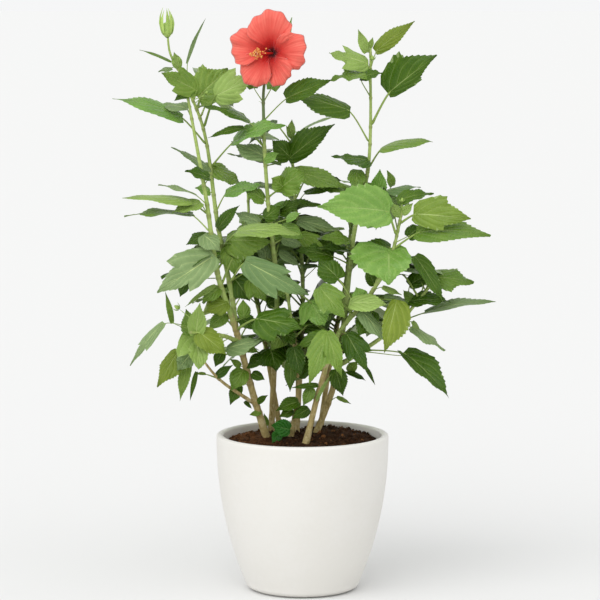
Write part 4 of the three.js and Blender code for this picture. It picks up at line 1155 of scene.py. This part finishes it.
def leafMaterial(kind):
    shade, light, veinShare, rough, shine = leafPaint[kind]
    name = f"{kind}Leaf"
    material, tree, shader, where = startMaterial(name, IOR=1.45, Specular_IOR_Level=shine)
    own = addNode(tree, "ShaderNodeUVMap", uv_map="blade").outputs["UV"]
    veins = placeGroup(tree, leafVeins, {"Vector": own})
    tone, under = attributeOf(tree, "tone"), attributeOf(tree, "underside")
    cloud = cloudOn(tree, where, 45.0, 420.0)
    share = reckon(tree, "MULTIPLY_ADD", cloud, 0.5, times(tree, tone, 0.6))
    top = layered(
        tree, shade,
        (share, light),
        (times(tree, veins["Pillows"], 0.4), shade),
        (times(tree, veins["Veins"], veinShare), leafVeinPaint),
    )
    pale = layered(
        tree, light,
        (0.5, leafUnder),
        (times(tree, veins["Veins"], 0.45), leafVeinPaint),
    )
    colour = layered(tree, top, (under, pale))
    gloss = between(tree, cloud, 0.0, 1.0, rough - 0.08, rough + 0.14)
    gloss = reckon(tree, "MULTIPLY_ADD", under, 0.2, gloss)
    relief = reckon(tree, "MULTIPLY_ADD", veins["Veins"], -0.5, times(tree, veins["Pillows"], 0.5))
    relief = reckon(tree, "MULTIPLY_ADD", cloud, 0.7, relief)
    finishSurface(tree, shader, colour, gloss, relief, 0.0012, 0.8)
    return material


# What each group of leaves replaces
foliage = {
    "left_stem": ["left_top_leaves", "left_upper_leaves", "left_middle_leaves",
                  "left_lobed_leaves", "left_centre_leaves"],
    "bud_bough": ["left_shoulder_leaves", "left_inner_leaves"],
    "low_left_bough": ["low_left_leaves"],
    "left_twig_bough": ["left_twig_leaves"],
    "bloom_stem": ["bloom_leaves", "centre_upper_leaves", "centre_middle_leaves", "centre_leaves"],
    "centre_stem": ["centre_low_leaves", "low_middle_leaves"],
    "centre_back_stem": ["centre_top_leaves"],
    "right_stem": ["right_leaves", "right_centre_leaves"],
    "tall_right_stem": ["right_top_leaves", "right_shoulder_leaves", "right_upper_leaves",
                        "right_middle_leaves", "right_inner_leaves", "right_low_leaves"],
    "far_right_bough": ["far_right_leaves", "right_hanging_leaves"],
    "back_left_stem": ["back_left_top_leaves", "back_left_leaves", "back_low_leaves"],
    "back_right_stem": ["back_right_top_leaves", "back_right_leaves"],
}


def makeLeaves():
    read = readLeafRows()
    ruled = keptRuleRows(read, ruleLeafRows())
    finishes = {kind: leafMaterial(kind) for kind in leafKinds}
    for name, nodes in foliage.items():
        meshes, used, placed = [], [], 0
        here = sum(row["limb"] == name for row in read + ruled)
        cells = int(np.ceil(np.sqrt(2 * here)))
        for rows, teeth, columns in ((read, blade["teeth"], fineColumns),
                                     (ruled, blade["fewTeeth"], plainColumns)):
            rows = [row for row in rows if row["limb"] == name]
            if not rows:
                continue
            used += [row["kind"] for row in rows if row["kind"] not in used]
            leaves = gather(rows)
            shapes = growBlades(leaves, teeth, columns, placed, cells)
            placed += len(rows)
            meshes.append(makeMesh(
                name, shapes.plan, shapes.points,
                maps={"blade": shapes.own, "OFBake": shapes.baked},
                values={"tone": leaves.tone[:, None]},
                faceValues={"underside": shapes.underside},
                look=np.array([used.index(kind) for kind in leaves.kind]),
                rim=shapes.rim,
            ))
            for row, start in zip(rows, shapes.ribStart):
                row["ribStart"] = start
        addPiece(f"{name}_foliage", meshes, [finishes[kind] for kind in used], nodes)
    print(f"{len(read)} leaves read off the photograph, {len(ruled)} by the rule")
    return read + ruled


allLeaves = makeLeaves()


# Stalks of the leaves
def makeStalks(rows):
    # A cubic curve from the limb's axis to the blade, leaving upwards and outwards and
    # arriving along the midrib; its radius falls evenly, from a swollen foot.
    leaves = gather(rows)
    share = np.linspace(0, 1, stalk["rows"])[None, :, None]
    gap = leaves.base - leaves.joint
    reach = np.linalg.norm(gap, axis=1, keepdims=True)
    leave = leaves.joint + stalk["leave"] * reach * unit(unit(gap) + stalk["upturn"] * upward)
    arrive = leaves.base - stalk["arrive"] * reach * leaves.ribStart
    end = leaves.base + stalk["inside"] * leaves.ribStart
    parts = [leaves.joint, leave, arrive, end]
    weights = [(1 - share) ** 3, 3 * share * (1 - share) ** 2, 3 * share**2 * (1 - share), share**3]
    centres = sum(weight * part[:, None] for weight, part in zip(weights, parts))
    thick = np.clip(leaves.width / stalk["fullWidth"], *stalk["thickness"])[:, None]
    radii = thick * np.linspace(stalk["radius"], stalk["endRadius"], stalk["rows"])[None]
    radii = radii * (1 + stalk["footSwell"] * np.exp(-np.linspace(0, 9, stalk["rows"])))
    tone = np.random.default_rng(stalk["toneSeed"]).uniform(0, 1, len(rows))[:, None]
    stalks = makeTubes("stalks", centres, radii, stalk["columns"], tone)

    # stipules: two small pointed bracts beside every stalk's foot
    draw = np.random.default_rng(stalk["bractSeed"])
    feet, gap, reach = [np.repeat(values, 2, axis=0) for values in (leaves.joint, gap, reach)]
    facing = unit(gap + reach * stalk["bractSpread"] * draw.normal(size=feet.shape))
    heading = unit(facing + stalk["bractUpturn"] * upward)
    share = np.linspace(0, 1, stalk["bractRows"])
    length = draw.uniform(*stalk["bractLength"], (len(feet), 1, 1))
    ahead = stalk["bractGap"] + length * share[None, :, None]
    radii = stalk["bractRadius"] * (1 - share**2) * np.ones((len(feet), 1))
    tone = draw.uniform(0.3, 1, (len(feet), 1))
    centres = feet[:, None] + heading[:, None] * ahead
    bracts = makeTubes("bracts", centres, radii, stalk["bractColumns"], tone)

    material, tree, shader, where = startMaterial("stalkGreen", IOR=1.42)
    cloud = cloudOn(tree, where, 70.0, 600.0)
    colour = layered(
        tree, stalk["shade"],
        (attributeOf(tree, "tone"), stalk["light"]),
        (between(tree, cloud, 0.4, 1.0, 0.0, 0.4), stalk["brown"]),
    )
    rough = between(tree, cloud, 0.0, 1.0, 0.42, 0.58)
    finishSurface(tree, shader, colour, rough, cloud, 0.0002, 0.5)
    addPiece("leaf_stalks", [stalks, bracts], [material])
    for row in rows:
        limbs[row["limb"]]["joints"].append(row["joint"])


makeStalks(allLeaves)
print("leaves and stalks made")


# Bark
def barkMaterial():
    material, tree, shader, where = startMaterial("hibiscusBark", IOR=1.45)
    age, joint, deep = [attributeOf(tree, name) for name in ("age", "joint", "deep")]
    drawn = addNode(tree, "ShaderNodeMapping", {"Vector": where, "Scale": (1.0, 1.0, 0.16)})
    streaks = cloudOn(tree, drawn.outputs["Vector"], 260.0, 900.0, 0.45)
    cloud = cloudOn(tree, where, 55.0, 340.0)
    pores = addNode(tree, "ShaderNodeTexVoronoi", {"Vector": where, "Scale": 420.0})
    pore = between(tree, pores.outputs["Distance"], 0.12, 0.24, 1.0, 0.0)
    wood = layered(
        tree, bark["brown"],
        (streaks, bark["tan"]),
        (between(tree, cloud, 0.45, 1.0, 0.0, 0.6), bark["ash"]),
        (times(tree, pore, 0.5), bark["ash"]),
    )
    green = layered(
        tree, bark["deepGreen"],
        (cloud, bark["green"]),
        (times(tree, streaks, 0.35), bark["paleGreen"]),
        (deep, bark["stalkGreen"]),
    )
    patchy = reckon(tree, "MULTIPLY_ADD", reckon(tree, "SUBTRACT", cloud, 0.5), 0.35, age)
    colour = layered(
        tree, green,
        (between(tree, patchy, 0.3, 0.75), wood),
        (times(tree, joint, 0.4), bark["jointBrown"]),
    )
    rough = between(tree, age, 0.0, 1.0, 0.48, 0.85)
    height = reckon(tree, "MULTIPLY_ADD", pore, 0.4, streaks)
    height = times(tree, height, between(tree, age, 0.0, 1.0, 0.15, 1.0))
    finishSurface(tree, shader, colour, rough, height, 0.0006, 0.9)
    return material


def startedWith(row, values):
    # A row with others put before its first value.
    return np.concatenate([values, row])


def makeLimb(limb):
    # Rings along the axis, swollen at the foot and at each leaf's joint, with bark relief:
    # radius * (1 + depth * (fissures drawn out along the limb + lumps)).
    curve, places = evenly(limb["curve"], bark["ringStep"])
    radii = np.linspace(*limb["radii"], len(curve))
    if limb["flare"]:
        radii = radii * (1 + bark["flareGain"] * np.exp(-places / bark["flareHeight"]))
    joint = np.zeros(len(curve))
    for point in limb["joints"]:
        away = np.linalg.norm(curve - point, axis=1)
        joint = np.maximum(joint, np.exp(-((away / bark["jointReach"]) ** 2)))
    radii = radii + bark["jointSwell"] * joint
    age = smooth(limb["wood"] + bark["ageing"] - curve[:, 2], 0, 2 * bark["ageing"])
    deep = smooth(curve[:, 2], *limb["deepFrom"]) if "deepFrom" in limb else 0 * age
    if limb["flare"]:  # the foot goes down into the soil
        down = np.linspace(-bark["rooting"], 0, bark["rootRows"], endpoint=False)
        curve = startedWith(curve, curve[0] + down[:, None] * unit(curve[1] - curve[0]))
        radii = startedWith(radii, radii[0] + 0 * down)
        age, joint, deep = [startedWith(row, first + 0 * down)
                            for row, first in ((age, 1.0), (joint, 0.0), (deep, 0.0))]
    curve, radii, age, joint, deep = [np.concatenate([row[:1], row, row[-1:]])
                                      for row in (curve, radii, age, joint, deep)]
    points = ringsRound(curve[None], capped(radii[None]), bark["columns"], backward[None])[0]
    relief = ripple(points * np.array([1.0, 1.0, bark["stretch"]]), *bark["fissures"])
    relief = relief + bark["lumpShare"] * ripple(points, *bark["lumps"])
    relief[:, -1] = relief[:, 0]
    depth = bark["youngRelief"] + (bark["relief"] - bark["youngRelief"]) * age[:, None]
    points = curve[:, None] + (points - curve[:, None]) * (1 + (depth * relief)[..., None])
    values = {"age": age, "joint": joint, "deep": deep}
    values = {key: np.repeat(row, bark["columns"])[None] for key, row in values.items()}
    return points, values


def makeLimbs():
    material = barkMaterial()
    for name, limb in limbs.items():
        points, values = makeLimb(limb)
        plan = tubePlan(*points.shape[:2])
        mesh = makeMesh(name, plan, points.reshape(1, -1, 3), values=values)
        addPiece(f"{name}_bark", [mesh], [material], [name])


makeLimbs()
print("limbs made")


# Bloom
# Five petals by bearing, reach and half span in degrees; order lifts one over the next. Radii
# and heights are the profile from the throat to the rim, as shares of the reach and in mm.
petals = {
    "angles": [87, 164, 232, 296, 5], "reaches": [52, 51, 47, 43, 48.5],
    "spans": [46, 41, 42, 39, 41], "order": [3.0, 0.6, 1.8, -0.6, 0.2],
    "radii": [0.0, 0.05, 0.12, 0.3, 0.55, 0.8, 0.93, 1.0],
    "heights": [-19.5, -18.0, -14.5, -4.5, 1.0, 3.2, 1.8, -1.2],
    "rows": 34, "columns": 49, "thickness": 0.7, "seed": 8,
    "rounding": 0.32, "footSpan": 0.86, "spanGain": 0.34, "tipNarrowing": 7,
    "frill": 3.4, "crease": 0.62, "overlap": 2.4, "sideDrop": 5,
    "rimWaves": [(0.03, 6, 0), (0.022, 15, 1)],  # height, pace, number of the phase
    "creaseWaves": [(1, 11, 4), (0.8, 19, 1), (0.5, 31, 2)],
    "coral": paint(214, 66, 54), "pink": paint(232, 112, 96), "red": paint(200, 18, 14),
    "vein": paint(208, 52, 44), "maroon": paint(104, 4, 10),
}


def waveSum(across, phase, waves):
    # Sine waves added up, each height * sin(pace * across + its phase).
    return sum(rise * np.sin(pace * across + phase[number]) for rise, pace, number in waves)


def petalPoints(angle, reach, span, order, phase):
    # Radius grows evenly from the throat to the petal's reach, which is rounded off towards
    # its two sides. Height follows a profile by radius, with a frilled rim and creases that
    # run outwards, and each petal lies over the next on one side.
    u = np.linspace(0, 1, petals["rows"])[:, None]
    v = np.linspace(-1, 1, petals["columns"])[None]
    far = np.abs(v)
    rim = 1 - petals["rounding"] * far**2.6 + waveSum(v, phase, petals["rimWaves"])
    radius = reach * rim * u
    width = span * (petals["footSpan"] + petals["spanGain"] * smooth(u, 0.1, 0.7))
    width = width - petals["tipNarrowing"] * smooth(u, 0.86, 1.0) * far
    bearing = np.radians(angle + v * width)
    height = np.interp(u, petals["radii"], petals["heights"]) * np.ones_like(v)
    frill = np.sin(6.5 * v + phase[2]) + 0.6 * np.sin(13 * v + phase[3] + 2 * u)
    height = height + petals["frill"] * u**3.2 * frill * (0.5 + 0.5 * far)
    folds = waveSum(v, phase, petals["creaseWaves"])
    height = height + petals["crease"] * folds * smooth(u, 0.25, 0.8) * (0.5 + 0.5 * u)
    height = height + (order + petals["overlap"] * v) * smooth(u, 0.08, 0.5)
    height = height - petals["sideDrop"] * far**4 * smooth(u, 0.7, 1.0)
    right, up = radius * np.cos(bearing), radius * np.sin(bearing)
    front, back = [bloomPlace(right, up, height - depth) for depth in (0, petals["thickness"])]
    inner = (far < 1) * (u < 1) * (u > 0)
    return np.stack([front, np.where(inner[..., None], back, front)])


def makePetals():
    draw = np.random.default_rng(petals["seed"])
    given = zip(petals["angles"], petals["reaches"], petals["spans"], petals["order"])
    points = np.stack([petalPoints(*petal, draw.uniform(0, turn, 5)) for petal in given])
    count, sides, rows, columns, _ = points.shape
    points[:, :, 0] = points[:, :1, :1, columns // 2]
    own = [np.linspace(0, 1, rows)[:, None], np.linspace(0, 1, columns)[None]]
    own = np.stack(np.broadcast_arrays(*own), -1)
    own = np.broadcast_to(own, (count, sides, rows, columns, 2)).reshape(count, -1, 2)
    plan = shellPlan(rows, columns, blunt=True)
    mesh = makeMesh("petals", plan, points.reshape(count, -1, 3), maps={"petal": own})

    # coral with pink towards the rim, fine veins that run outwards, and a dark red throat
    sheen = {"Sheen_Weight": 0.25, "Sheen_Roughness": 0.4}
    material, tree, shader, where = startMaterial("coralPetal", IOR=1.4, **sheen)
    own = addNode(tree, "ShaderNodeUVMap", uv_map="petal").outputs["UV"]
    outwards = addNode(tree, "ShaderNodeSeparateXYZ", {0: own}).outputs["X"]
    fan = addNode(tree, "ShaderNodeMapping", {"Vector": own, "Scale": (1.1, 30.0, 1.0)})
    lines = {"Vector": fan.outputs["Vector"], "Scale": 1.0, "Detail": 3.0}
    line = between(tree, addNode(tree, "ShaderNodeTexNoise", lines).outputs["Fac"], 0.35, 0.68)
    cloud = cloudOn(tree, where, 60.0, 500.0, 0.3)
    wavy = reckon(tree, "MULTIPLY_ADD", line, 0.08, outwards)
    colour = layered(
        tree, petals["coral"],
        (between(tree, outwards, 0.3, 0.95), petals["pink"]),
        (times(tree, line, 0.6), petals["vein"]),
        (times(tree, cloud, 0.2), petals["pink"]),
        (between(tree, wavy, 0.2, 0.56, 1.0, 0.0), petals["red"]),
        (between(tree, wavy, 0.13, 0.22, 1.0, 0.0), petals["maroon"]),
    )
    rough = between(tree, cloud, 0.0, 1.0, 0.5, 0.66)
    finishSurface(tree, shader, colour, rough, line, 0.0005, 0.6)
    addPiece("coral_bloom", [mesh], [material], ["bloom_petals"])


# Places are right, up and out from the middle of the bloom's face.
column = {
    "foot": -17.5, "end": (-8.5, -3.5, 28.0), "bend": 1.4, "radius": (1.5, 1.0), "rows": 26,
    "columns": 13, "filaments": 78, "from": 0.62, "reach": (3.0, 7.5), "anther": (0.9, 1.3),
    "aim": np.array([-0.5, -0.1, 0.12]), "aimSpread": np.array([0.8, 0.6, 0.9]),
    "threadRadius": 0.22, "threadRows": 5, "threadColumns": 5, "seed": 13,
    "pads": 5, "padRing": (2.6, 2.2, 2.4), "armRadius": 0.35, "padRadius": 0.85,
    "padTones": np.array([0.5, 0.5, 0.52, 0.5, 0.5]),
    "red": paint(196, 34, 26), "salmon": paint(228, 120, 80), "cream": paint(238, 206, 168),
    "darkGold": paint(212, 128, 54), "gold": paint(244, 184, 104),
}


def smallBalls(name, centres, sizes, tone):
    # Little balls of a few faces each.
    rows, columns = 5, 7
    points = centres[:, None] + unitBall(rows, columns) * sizes[:, None, None]
    plan = tubePlan(rows, columns, turned=True)
    return makeMesh(name, plan, points, values={"tone": tone[:, None]})


def threadsFrom(name, starts, ends, radius, tone):
    # Thin straight threads, one from each start to its end.
    rows = column["threadRows"]
    radii = np.full((len(starts), rows), radius)
    return makeTubes(name, straightRows(starts, ends, rows), radii, column["threadColumns"], tone)


def makeColumn():
    # The column bends from the throat to its end; filaments leave its outer half, most of
    # them to the left, and each carries an anther.
    draw = np.random.default_rng(column["seed"])
    share = np.linspace(0, 1, column["rows"])
    right, up, out = column["end"]
    bend = share ** column["bend"]
    axis = bloomPlace(right * bend, up * bend, column["foot"] + (out - column["foot"]) * share)
    radii = np.linspace(*column["radius"], len(share))[None]
    stem = makeTubes("column", axis[None], radii, column["columns"], 0.0)

    count = column["filaments"]
    along = column["from"] + (1 - column["from"]) * draw.uniform(0, 1, count) ** 0.6
    foot = np.stack([np.interp(along, share, part) for part in axis.T], -1)
    aim = draw.normal(size=(count, 3)) * column["aimSpread"] + column["aim"]
    tip = foot + draw.uniform(*column["reach"], count)[:, None] * unit(aim)
    filaments = threadsFrom("filaments", foot, tip, column["threadRadius"], 0.35)
    sizes = draw.uniform(*column["anther"], count)
    anthers = smallBalls("anthers", tip, sizes, draw.uniform(0.7, 1, count))

    # stigma pads on short arms at the end
    pads = column["pads"]
    turns = np.linspace(0, turn, pads, endpoint=False)
    wide, high, ahead = column["padRing"]
    ends = bloomPlace(right + wide * np.cos(turns), up + high * np.sin(turns), out + ahead)
    starts = np.repeat(axis[-1:], pads, axis=0)
    arms = threadsFrom("arms", starts, ends, column["armRadius"], 0.1)
    tips = smallBalls("pads", ends, np.full(pads, column["padRadius"]), column["padTones"])

    # by tone: red stem, salmon filaments, cream pads, golden anthers
    material, tree, shader, where = startMaterial("pollenColumn", IOR=1.4)
    tone = attributeOf(tree, "tone")
    cloud = cloudOn(tree, where, 300.0, 1400.0)
    gold = layered(tree, column["darkGold"], (cloud, column["gold"]))
    colour = layered(
        tree, column["red"],
        (between(tree, tone, 0.0, 0.3), column["salmon"]),
        (between(tree, tone, 0.4, 0.6), column["cream"]),
        (between(tree, tone, 0.62, 0.72), gold),
    )
    rough = between(tree, cloud, 0.0, 1.0, 0.6, 0.85)
    finishSurface(tree, shader, colour, rough, cloud, 0.0003, 0.8)
    addPiece("stamen_column", [stem, filaments, anthers, arms, tips], [material],
             ["bloom_column"])


# Calyx, bud and small buds
# Each ring of bracts has its radius, where it starts on the axis, how far it leans out, and
# the reach and the width of one bract.
greens = {
    "shade": paint(74, 108, 42), "light": paint(170, 198, 98), "pale": paint(190, 212, 130),
    "ribHeight": 0.05, "ribbedTone": 0.75, "bractTeeth": 4, "turnPlay": (-0.1, 0.1),
    "leanPlay": (0.85, 1.15), "reachPlay": (0.9, 1.1),
}
cup = {
    "length": 13, "radii": (3.6, 6.6, 7.4, 6.9), "ribs": 5,
    "sepals": {"count": 5, "ring": 5.6, "start": 8.0, "spread": 0.5, "reach": 13, "width": 7.5,
               "tone": 0.7},
    "bracts": {"count": 7, "ring": 3.2, "start": 0.6, "spread": 1.4, "reach": 11, "width": 2.2,
               "tone": 0.35},
}
bud = {
    "foot": np.array([-171.1, 25.0, 703.0]), "axis": np.array([-0.04, 0.0, 1.0]), "seed": 21,
    "height": 20, "radii": (1.4, 4.88, 6.344, 6.1, 5.49, 4.636, 3.05), "ribs": 5, "rows": 22,
    "sepals": {"count": 5, "ring": 5.978, "start": 7.0, "spread": -0.06, "reach": 30, "width": 5.0,
               "tone": 1.0},
    "bracts": {"count": 7, "ring": 1.83, "start": 0.8, "spread": 0.42, "reach": 12, "width": 1.7,
               "tone": 0.05},
}
smallBud = {  # its sizes are shares of its radius
    "length": 3.2, "radii": np.array([0.5, 1, 0.8, 0.2]), "ribs": 5, "rows": 10, "columns": 21,
    "ring": 0.6, "reach": 3.0, "width": 0.9, "stalkEnd": 0.4,
    "leaves": {"count": 5, "start": 0.0, "spread": 0.7, "tone": 0.5},
    "stalkRadius": 0.55, "stalkRows": 8, "stalkColumns": 7, "stalkTone": 0.6,
}
smallBuds = [  # limb, pixel row of the joint, pixel of the bud, mm nearer, radius
    ("low_left_bough", 334, (179, 309), 6, 2.4),
    ("bud_bough", 104, (205, 94), 6, 1.7),
    ("bud_bough", 100, (201, 97), 5, 1.4),
    ("tall_right_stem", 72, (372, 60), 4, 2.0),
    ("right_stem", 214, (402, 202), 4, 1.8),
]


def greenMaterial():
    material, tree, shader, where = startMaterial("calyxGreen", IOR=1.42)
    cloud = cloudOn(tree, where, 120.0, 800.0)
    colour = layered(
        tree, greens["shade"],
        (attributeOf(tree, "tone"), greens["light"]),
        (times(tree, cloud, 0.3), greens["pale"]),
    )
    rough = between(tree, cloud, 0.0, 1.0, 0.5, 0.66)
    finishSurface(tree, shader, colour, rough, cloud, 0.0003, 0.6)
    return material


def ribbedCup(name, base, axis, length, radii, ribs, rows=16, columns=31):
    # A closed form on an axis: its radius follows a few values and swells at each rib.
    share = np.linspace(0, 1, rows)
    radius = np.interp(share, np.linspace(0, 1, len(radii)), radii)
    centres = base + share[:, None] * length * axis
    grooves = 1 + greens["ribHeight"] * np.cos(ribs * np.linspace(0, turn, columns))
    points = ringsRound(centres[None], capped(radius[None]), columns)[0]
    points = centres[:, None] + (points - centres[:, None]) * grooves[None, :, None]
    values = {"tone": greens["ribbedTone"]}
    return makeMesh(name, tubePlan(rows, columns), points.reshape(1, -1, 3), values=values)


def bractMesh(name, base, axis, draw, count, ring, start, spread, reach, width, tone):
    # Narrow pointed blades in a ring round an axis, each leaning out by spread.
    side = unit(np.cross(axis, np.array([0.3, 1.0, 0.2])))
    front = np.cross(axis, side)
    turns = np.linspace(0, turn, count, endpoint=False) + draw.uniform(*greens["turnPlay"], count)
    outward = np.cos(turns)[:, None] * side + np.sin(turns)[:, None] * front
    lean = spread * draw.uniform(*greens["leanPlay"], count)[:, None]
    foot = base + start * axis + ring * outward
    reach = reach * draw.uniform(*greens["reachPlay"], count)[:, None]
    form = {
        "width": width, "lobes": 0.0, "fold": 10.0, "curl": -0.35, "arch": 0.1, "waves": 1.0,
        "waveHeight": 0.0, "twist": 0.0, "phase": 0.0, "lopsided": 0.0,
    }
    rows = [{"base": a, "tip": b, "facing": c, **form}
            for a, b, c in zip(foot, foot + reach * unit(axis + lean * outward), outward)]
    shapes = growBlades(gather(rows), greens["bractTeeth"], plainColumns)
    return makeMesh(name, shapes.plan, shapes.points, values={"tone": tone})


def makeSmallBud(name, pixelRow, pixel, nearer, size, draw):
    # A small green bud on a short stalk, with a ring of tiny leaves.
    joint = rowOn(limbs[name], pixelRow)
    middle = placeOfPixel(pixel, joint[1] - nearer)
    heading = unit(middle - joint)
    end = middle + smallBud["stalkEnd"] * size * heading
    centres = straightRows(joint[None], end[None], smallBud["stalkRows"])
    radii = np.full((1, smallBud["stalkRows"]), smallBud["stalkRadius"])
    scaled = {key: smallBud[key] * size for key in ("ring", "reach", "width")}
    return [
        makeTubes("stem", centres, radii, smallBud["stalkColumns"], smallBud["stalkTone"]),
        ribbedCup("small", middle, heading, smallBud["length"] * size, smallBud["radii"] * size,
                  smallBud["ribs"], smallBud["rows"], smallBud["columns"]),
        bractMesh("leaves", middle, heading, draw, **smallBud["leaves"], **scaled),
    ]


def makeGreens():
    material = greenMaterial()
    draw = np.random.default_rng(bud["seed"])
    base = behindBloom(cup["length"])
    axis = unit(behindBloom(0) - base)
    calyx = [
        ribbedCup("cup", base, axis, cup["length"], cup["radii"], cup["ribs"]),
        bractMesh("sepals", base, axis, draw, **cup["sepals"]),
        bractMesh("bracts", base, axis, draw, **cup["bracts"]),
    ]
    addPiece("bloom_calyx_green", calyx, [material], ["bloom_calyx"])

    foot, axis = bud["foot"], unit(bud["axis"])
    budMeshes = [
        ribbedCup("budBody", foot, axis, bud["height"], bud["radii"], bud["ribs"], bud["rows"]),
        bractMesh("budSepals", foot, axis, draw, **bud["sepals"]),
        bractMesh("budBracts", foot, axis, draw, **bud["bracts"]),
    ]
    addPiece("flower_bud", budMeshes, [material], ["bud"])

    extras = [mesh for given in smallBuds for mesh in makeSmallBud(*given, draw)]
    addPiece("small_buds", extras, [material])


makePetals()
makeColumn()
makeGreens()
print("bloom and buds made")


# Floor, light and sky
studio = {
    "floorSize": 1600.0,  # metres
    "floor": paint(223, 223, 222), "sky": (0.92, 0.925, 0.93, 1.0), "skyStrength": 1.0,
    "key": {"from": (-1.7, -2.6, 2.8), "strength": 1.4, "softness": 64},
    "fill": {"from": (2.6, -2.2, 1.8), "strength": 0.25, "softness": 60},
}


def makeStudio():
    half = studio["floorSize"] / 2
    mesh = bpy.data.meshes.new("studio_floor")
    corners = [(-half, -half, 0), (half, -half, 0), (half, half, 0), (-half, half, 0)]
    mesh.from_pydata(corners, [], [(0, 1, 2, 3)])
    floor = bpy.data.objects.new("studio_floor", mesh)
    bpy.context.scene.collection.objects.link(floor)
    finish = {"Base_Color": studio["floor"], "Roughness": 0.9, "Specular_IOR_Level": 0.0}
    mesh.materials.append(startMaterial("paleFloor", **finish)[0])
    for name in ("key", "fill"):
        lamp = bpy.data.lights.new(f"{name}_light", "SUN")
        lamp.energy = studio[name]["strength"]
        lamp.angle = np.radians(studio[name]["softness"])
        holder = bpy.data.objects.new(f"{name}_light", lamp)
        holder.rotation_euler = Vector(studio[name]["from"]).to_track_quat("Z", "Y").to_euler()
        holder.location = studio[name]["from"]
        bpy.context.scene.collection.objects.link(holder)
    world = bpy.data.worlds.new("pale_studio")
    world.use_nodes = True
    background = world.node_tree.nodes["Background"]
    background.inputs["Color"].default_value = studio["sky"]
    background.inputs["Strength"].default_value = studio["skyStrength"]
    bpy.context.scene.world = world
    bpy.context.scene.view_settings.view_transform = "Standard"
    bpy.context.scene.view_settings.look = "None"


makeStudio()
print("studio made")
